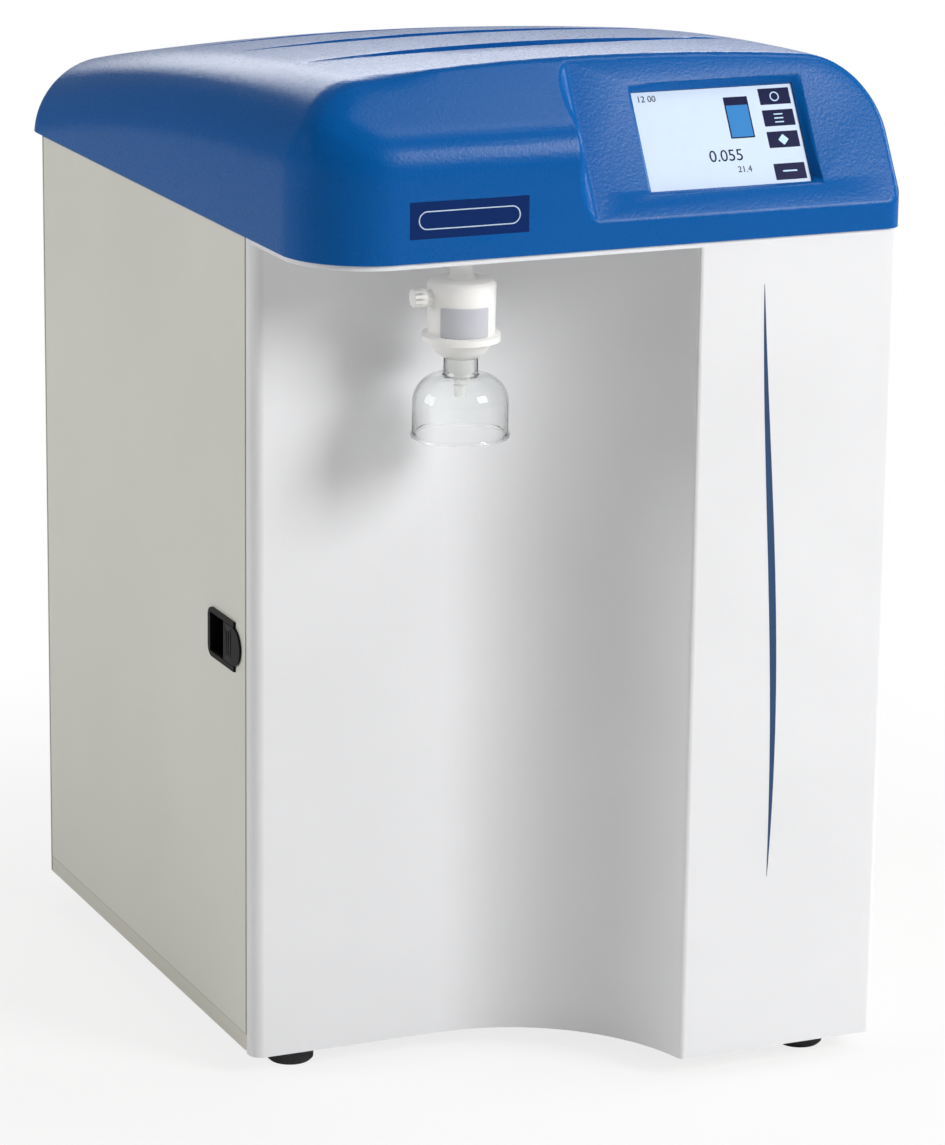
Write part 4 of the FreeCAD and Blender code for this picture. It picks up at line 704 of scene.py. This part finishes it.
class WATER_OT_display(WaterOperator):
    """Build the display picture: ground, keys, tank and plain numbers"""
    bl_idname = "water.display"
    bl_label = "Display picture"
    PICTURE_CORNER = 0.0008
    PRINT_CORNER = 0.0003
    FINE_CORNER = 0.0002
    KEY_DROPS = (0.22, 0.44, 0.765)     # from the first key to the others, as shares of the picture's height
    MARK_COLUMN = 0.881                 # middle of the keys, as a share of its width
    RING_ROW = 0.12                     # middles of the ring and the lozenge, as shares of its height
    LOZENGE_ROW = 0.56
    BAR_PITCH = 0.04                    # from one of the three bars to the next, as a share of its height
    RING_RADIUS = 0.0028
    RING_LINE = 0.0006
    LOZENGE_RADIUS = 0.0032
    DIGIT_SHARE = 0.7                   # a digit's height, as a share of the type size
    FIGURE_HALF_THICKNESS = 0.00004
    FIGURES = (("12 00", 0.03, 0.10, 0.062),            # text, left, foot and height, as shares
               ("0.055", 0.40, 0.74, 0.115),
               ("21.4", 0.56, 0.86, 0.062))

    def execute(self, context):
        ground = printed("screen_ground", self.finish.screen_pale, roughness=0.25, glow=0.12, shine=0.1)
        navy = printed("screen_navy", self.finish.screen_navy, roughness=0.2, shine=0.1)
        light = printed("screen_mark", (0.55, 0.75, 0.95), roughness=0.2, glow=0.1, shine=0.1)
        level = printed("screen_level", self.finish.screen_tank, roughness=0.2, glow=0.3, shine=0.1)
        glass = moulded("screen_window", (0.02, 0.02, 0.025), roughness=0.12)
        dress("screen_glass", glass)
        self.area("screen_picture", (0.0, 0.0), (1.0, 1.0), 0, self.PICTURE_CORNER, ground)
        self.area("screen_tank_frame", (0.56, 0.10), (0.71, 0.52), 1, self.PRINT_CORNER, navy)
        self.area("screen_tank_level", (0.568, 0.185), (0.702, 0.507), 2, self.FINE_CORNER, level)
        self.keys(navy)
        self.marks(light)
        for text, x, y, height in self.FIGURES:
            self.figures(text, x, y, height, navy)
        return {"FINISHED"}

    def place(self, piece):
        """Move a piece from the window's own frame to the display face."""
        display = settings("water_display")
        shift = Matrix.Translation((COVER_LOW.x, COVER_LOW.y, COVER_LOW.z + display.sill))
        turn = Matrix.Rotation(math.pi / 2 - display.tilt, 4, "X")
        inner = Matrix.Translation((display.across - display.width / 2, display.up + display.height / 2,
                                    -display.depth))
        only(piece)
        piece.matrix_world = shift @ turn @ inner @ piece.matrix_world
        bpy.ops.object.transform_apply(location=True, rotation=True, scale=True)

    def plate(self, name, low, high, layer, corner):
        """Thin rounded plate; low and high are shares of the picture, from its top left."""
        display = settings("water_display")
        base = display.layer * (layer + 1)
        near = (low[0] * display.width, -high[1] * display.height, base)
        far = (high[0] * display.width, -low[1] * display.height, base + display.layer)
        return rounded_slab(name, near, far, corner)

    def area(self, name, low, high, layer, corner, material):
        """One area of the picture, set on the display face."""
        self.adopt(self.plate(name, low, high, layer, corner), material)

    def keys(self, material):
        """Four like keys at the right edge of the picture."""
        display = settings("water_display")
        first = self.plate("screen_key_1", (0.785, 0.035), (0.978, 0.200), 1, self.PRINT_CORNER)
        others = [copied(first, "screen_key_%d" % number, (0, -drop * display.height, 0))
                  for number, drop in enumerate(self.KEY_DROPS, start=2)]
        for key in [first] + others:
            self.adopt(key, material)

    def marks(self, material):
        """Plain marks on the keys: a ring, three bars, a lozenge and a long bar."""
        display = settings("water_display")
        rise = (0, 0, display.layer)
        ring = self.disc("screen_mark_ring", 32, self.RING_RADIUS, self.RING_ROW)
        hollow_plate(ring, self.RING_LINE)
        raise_plate(ring, rise)
        lozenge = self.disc("screen_mark_lozenge", 4, self.LOZENGE_RADIUS, self.LOZENGE_ROW)
        raise_plate(lozenge, rise)
        round_edges(lozenge, lambda a, b: abs(a.z - b.z) > ALIKE, self.PRINT_CORNER)
        first = self.plate("screen_mark_bar_1", (0.853, 0.294), (0.909, 0.306), 2, self.FINE_CORNER)
        bars = [copied(first, "screen_mark_bar_%d" % (i + 1), (0, -self.BAR_PITCH * i * display.height, 0))
                for i in (1, 2)]
        last = self.plate("screen_mark_line", (0.836, 0.870), (0.926, 0.885), 2, self.PRINT_CORNER)
        for mark in [ring, lozenge, first, last] + bars:
            self.adopt(mark, material)

    def disc(self, name, corners, radius, row):
        """Flat face of a few or many corners in the keys' column, on the third layer."""
        display = settings("water_display")
        deselect()
        bpy.ops.mesh.primitive_circle_add(vertices=corners, radius=radius, fill_type="NGON",
                                          location=(self.MARK_COLUMN * display.width, -row * display.height,
                                                    display.layer * 3))
        piece = named(name)
        settle(piece)
        return piece

    def adopt(self, piece, material):
        """Set a piece on the display face and give it to the cabinet."""
        self.place(piece)
        finish_piece(piece, "cabinet", material)

    def figures(self, text, x, y, height, material):
        """Plain numbers on the picture."""
        display = settings("water_display")
        deselect()
        bpy.ops.object.text_add(location=(x * display.width, -y * display.height, display.layer * 3))
        words = bpy.context.object
        words.data.body = text
        words.data.size = height * display.height / self.DIGIT_SHARE
        words.data.extrude = self.FIGURE_HALF_THICKNESS
        bpy.ops.object.convert(target="MESH")
        self.adopt(named("screen_figures_" + "".join(c for c in text if c.isdigit())), material)


class WATER_OT_prints(WaterOperator):
    """Add the stripe on the column and the outline on the name strip"""
    bl_idname = "water.prints"
    bl_label = "Stripe and name strip"
    STRIPE_FOOT = 0.278         # lower tip, from the front's left edge
    STRIPE_LEAN = 0.012         # the upper tip is this far to the left of the lower one
    STRIPE_BULGE = 0.004        # bow to the right, midway
    STRIPE_TAPER = 0.8          # under 1 keeps the stripe full near its tips
    STRIPE_TIP = 0.0001         # half the width of a tip
    STRIPE_LIFT = 0.00004
    STRIPE_THICKNESS = 0.00006
    OUTLINE_REACH = 0.0245      # middle of the name strip to the middle of a round end
    OUTLINE_RADIUS = 0.0051
    OUTLINE_LIFT = 0.00003
    OUTLINE_THICKNESS = 0.00008

    def execute(self, context):
        dress("name_strip", printed("strip_film", self.finish.strip_blue, roughness=0.35, shine=0.1))
        self.stripe()
        self.outline()
        return {"FINISHED"}

    def stripe(self):
        """Slim upright stripe, widest in the middle and bowed a little, printed on the column's front."""
        trim = settings("water_trim")
        foot = FASCIA_LOW.x + self.STRIPE_FOOT
        deselect()
        bpy.ops.mesh.primitive_grid_add(x_subdivisions=2, y_subdivisions=60, size=1.0)
        piece = named("column_stripe")
        span = trim.stripe_high - trim.stripe_low
        bpy.ops.object.mode_set(mode="EDIT")
        mesh = bmesh.from_edit_mesh(piece.data)
        for vert in mesh.verts:
            along = vert.co.y + 0.5
            swell = math.sin(math.pi * along)
            half = trim.stripe_width / 2 * swell ** self.STRIPE_TAPER + self.STRIPE_TIP
            left = self.STRIPE_LEAN * (0.5 - math.cos(math.pi * along) / 2) - self.STRIPE_BULGE * swell
            vert.co = Vector((foot - left + vert.co.x * 2 * half, FASCIA_LOW.y - self.STRIPE_LIFT,
                              trim.stripe_low + along * span))
        mesh.normal_update()
        bmesh.update_edit_mesh(piece.data)
        bpy.ops.mesh.select_all(action="SELECT")
        bpy.ops.mesh.solidify(thickness=-self.STRIPE_THICKNESS)
        bpy.ops.mesh.select_all(action="SELECT")
        bpy.ops.mesh.normals_make_consistent(inside=False)
        bpy.ops.object.mode_set(mode="OBJECT")
        finish_piece(piece, "cabinet", printed("stripe_print", self.finish.stripe_blue))

    def outline(self):
        """Round-ended line on the name strip."""
        middle = (STRIP_LOW + STRIP_HIGH) / 2
        deselect()
        bpy.ops.mesh.primitive_circle_add(vertices=48, radius=self.OUTLINE_RADIUS, fill_type="NGON",
                                          location=(middle.x, STRIP_LOW.y - self.OUTLINE_LIFT, middle.z),
                                          rotation=(math.pi / 2, 0, 0))
        piece = named("strip_outline")
        settle(piece)
        bpy.ops.object.mode_set(mode="EDIT")
        mesh = bmesh.from_edit_mesh(piece.data)
        for vert in mesh.verts:
            if abs(vert.co.x - middle.x) > ALIKE:
                vert.co.x += math.copysign(self.OUTLINE_REACH, vert.co.x - middle.x)
        mesh.normal_update()
        bmesh.update_edit_mesh(piece.data)
        bpy.ops.object.mode_set(mode="OBJECT")
        hollow_plate(piece, settings("water_trim").outline_width)
        raise_plate(piece, (0, -self.OUTLINE_THICKNESS, 0))
        finish_piece(piece, "cabinet", printed("outline_print", (0.55, 0.68, 0.85)))


class WATER_OT_stage(WaterOperator):
    """Set the floor, the surround, the lamps and the camera"""
    bl_idname = "water.stage"
    bl_label = "Stage"
    LAMPS = (("key", (1.7, -2.5, 1.95), (1.2, 1.2), True),      # name, place, size, shows in glossy surfaces
             ("top", (1.0, -0.3, 2.4), (0.8, 0.8), True),
             ("rim", (3.0, 0.1, 1.3), (1.0, 1.0), True),
             ("side", (-3.0, 0.9, 1.3), (1.6, 1.6), False),
             ("rear", (1.1, 3.0, 1.45), (2.4, 0.8), True))
    LAMP_AIM = (0, 0, 0.3)
    FLOOR_WHITE = (0.82, 0.82, 0.82)
    WHITE_FROM, WHITE_TO = 0.30, 0.75   # distances from the middle over which the floor turns to pure white
    WHITE_LEAST = 0.80                  # how white it is nearer than that
    WARM_WHITE = (1.0, 0.975, 0.93, 1)
    PURE_WHITE = (1, 1, 1, 1)
    FRAME_WIDTH = 36.0                  # camera's frame, in millimetres

    def execute(self, context):
        stage = settings("water_stage")
        self.floor(stage)
        self.surround(stage)
        for name, place, size, glossy in self.LAMPS:
            self.lamp(name + "_lamp", place, size, getattr(stage, name + "_power"), glossy)
        self.camera(stage)
        context.scene.view_settings.view_transform = "Standard"
        return {"FINISHED"}

    def floor(self, stage):
        """Pale matt floor, which shows as white away from the part."""
        deselect()
        bpy.ops.mesh.primitive_circle_add(vertices=128, radius=stage.floor_radius, fill_type="NGON",
                                          location=(0, 0, 0))
        ground = named("stage_floor")
        material, tree, shader = new_material("stage_pale")
        vary_colour(tree, shader, self.FLOOR_WHITE, object_noise(tree, scale=2.0), spread=0.005)
        shader.inputs["Roughness"].default_value = 0.9
        shader.inputs["Specular IOR Level"].default_value = 0.1
        place = tree.nodes.new("ShaderNodeTexCoord")
        away = tree.nodes.new("ShaderNodeVectorMath")
        away.operation = "LENGTH"
        tree.links.new(place.outputs["Object"], away.inputs[0])
        fade = tree.nodes.new("ShaderNodeMapRange")
        fade.interpolation_type = "SMOOTHSTEP"
        fade.inputs["From Min"].default_value = self.WHITE_FROM
        fade.inputs["From Max"].default_value = self.WHITE_TO
        fade.inputs["To Min"].default_value = self.WHITE_LEAST
        tree.links.new(away.outputs["Value"], fade.inputs["Value"])
        share = tree.nodes.new("ShaderNodeMath")
        share.operation = "MULTIPLY"
        tree.links.new(fade.outputs["Result"], share.inputs[0])
        tree.links.new(seen_directly(tree), share.inputs[1])
        glow = tree.nodes.new("ShaderNodeEmission")
        glow.inputs["Color"].default_value = self.PURE_WHITE
        blend = tree.nodes.new("ShaderNodeMixShader")
        out = tree.nodes["Material Output"]
        tree.links.new(share.outputs[0], blend.inputs["Fac"])
        tree.links.new(shader.outputs[0], blend.inputs[1])
        tree.links.new(glow.outputs[0], blend.inputs[2])
        tree.links.new(blend.outputs[0], out.inputs["Surface"])
        ground.data.materials.append(material)

    def surround(self, stage):
        """Even, faintly warm light from all round, which shows as pure white."""
        world = bpy.data.worlds.new("stage_surround")
        bpy.context.scene.world = world
        world.use_nodes = True
        tree = world.node_tree
        background = tree.nodes["Background"]
        seen = seen_directly(tree)
        level = tree.nodes.new("ShaderNodeMapRange")
        level.inputs["To Min"].default_value = stage.world_level
        level.inputs["To Max"].default_value = 1.0
        tree.links.new(seen, level.inputs["Value"])
        tree.links.new(level.outputs["Result"], background.inputs["Strength"])
        tint = tree.nodes.new("ShaderNodeValToRGB")
        tint.color_ramp.elements[0].color = self.WARM_WHITE
        tint.color_ramp.elements[1].color = self.PURE_WHITE
        tree.links.new(seen, tint.inputs["Fac"])
        tree.links.new(tint.outputs["Color"], background.inputs["Color"])

    def lamp(self, name, place, size, watts, glossy):
        """Soft lamp aimed at the part, out of the camera's sight."""
        deselect()
        bpy.ops.object.light_add(type="AREA", location=place)
        lamp = bpy.context.object
        lamp.name = name
        lamp.data.shape = "RECTANGLE"
        lamp.data.size, lamp.data.size_y = size
        lamp.data.energy = watts
        lamp.rotation_euler = (Vector(self.LAMP_AIM) - Vector(place)).to_track_quat("-Z", "Y").to_euler()
        lamp.visible_camera = False
        lamp.visible_glossy = glossy

    def camera(self, stage):
        """Camera at the eye point, with no shift."""
        deselect()
        bpy.ops.object.camera_add()
        camera = bpy.context.object
        camera.name = "stage_camera"
        camera.data.sensor_width = self.FRAME_WIDTH
        camera.data.lens = stage.focal_length
        heading = Matrix.Rotation(-stage.camera_yaw, 4, "Z")
        tilt = Matrix.Rotation(math.pi / 2 - stage.camera_pitch, 4, "X")
        roll = Matrix.Rotation(stage.camera_roll, 4, "Z")
        camera.matrix_world = Matrix.Translation(stage.camera_place) @ (heading @ tilt) @ roll
        bpy.context.scene.camera = camera


# ---------------------------------------------------------------- panel and registration
OPERATORS = (WATER_OT_housing, WATER_OT_frame, WATER_OT_treatment, WATER_OT_outlet, WATER_OT_controls,
             WATER_OT_display, WATER_OT_prints, WATER_OT_stage)


class WATER_PT_panel(bpy.types.Panel):
    """Lists the settings and the operators"""
    bl_label = "Ultrapure water system"
    bl_idname = "WATER_PT_panel"
    bl_space_type = "VIEW_3D"
    bl_region_type = "UI"
    bl_category = "Water"

    def draw(self, context):
        """The settings, group by group, then a button for each operator."""
        for group in ("water_finish", "water_display", "water_trim", "water_stage"):
            box = self.layout.box()
            source = getattr(context.scene, group)
            for prop in source.__annotations__:
                box.prop(source, prop)
        for operator in OPERATORS:
            self.layout.operator(operator.bl_idname)


GROUPS = {"water_finish": WaterFinishSettings, "water_display": WaterDisplaySettings,
          "water_trim": WaterTrimSettings, "water_stage": WaterStageSettings}


def register():
    """Add the settings to the scene, then the operators and the panel."""
    for name, group in GROUPS.items():
        bpy.utils.register_class(group)
        setattr(bpy.types.Scene, name, PointerProperty(type=group))
    for operator in OPERATORS:
        bpy.utils.register_class(operator)
    bpy.utils.register_class(WATER_PT_panel)


def unregister():
    """Take away what register added, last first."""
    bpy.utils.unregister_class(WATER_PT_panel)
    for operator in reversed(OPERATORS):
        bpy.utils.unregister_class(operator)
    for name, group in reversed(GROUPS.items()):
        delattr(bpy.types.Scene, name)
        bpy.utils.unregister_class(group)


def main():
    """Finish the part, one operator after another."""
    register()
    for operator in OPERATORS:
        group, action = operator.bl_idname.split(".")
        getattr(getattr(bpy.ops, group), action)()


if __name__ == "__main__":
    main()
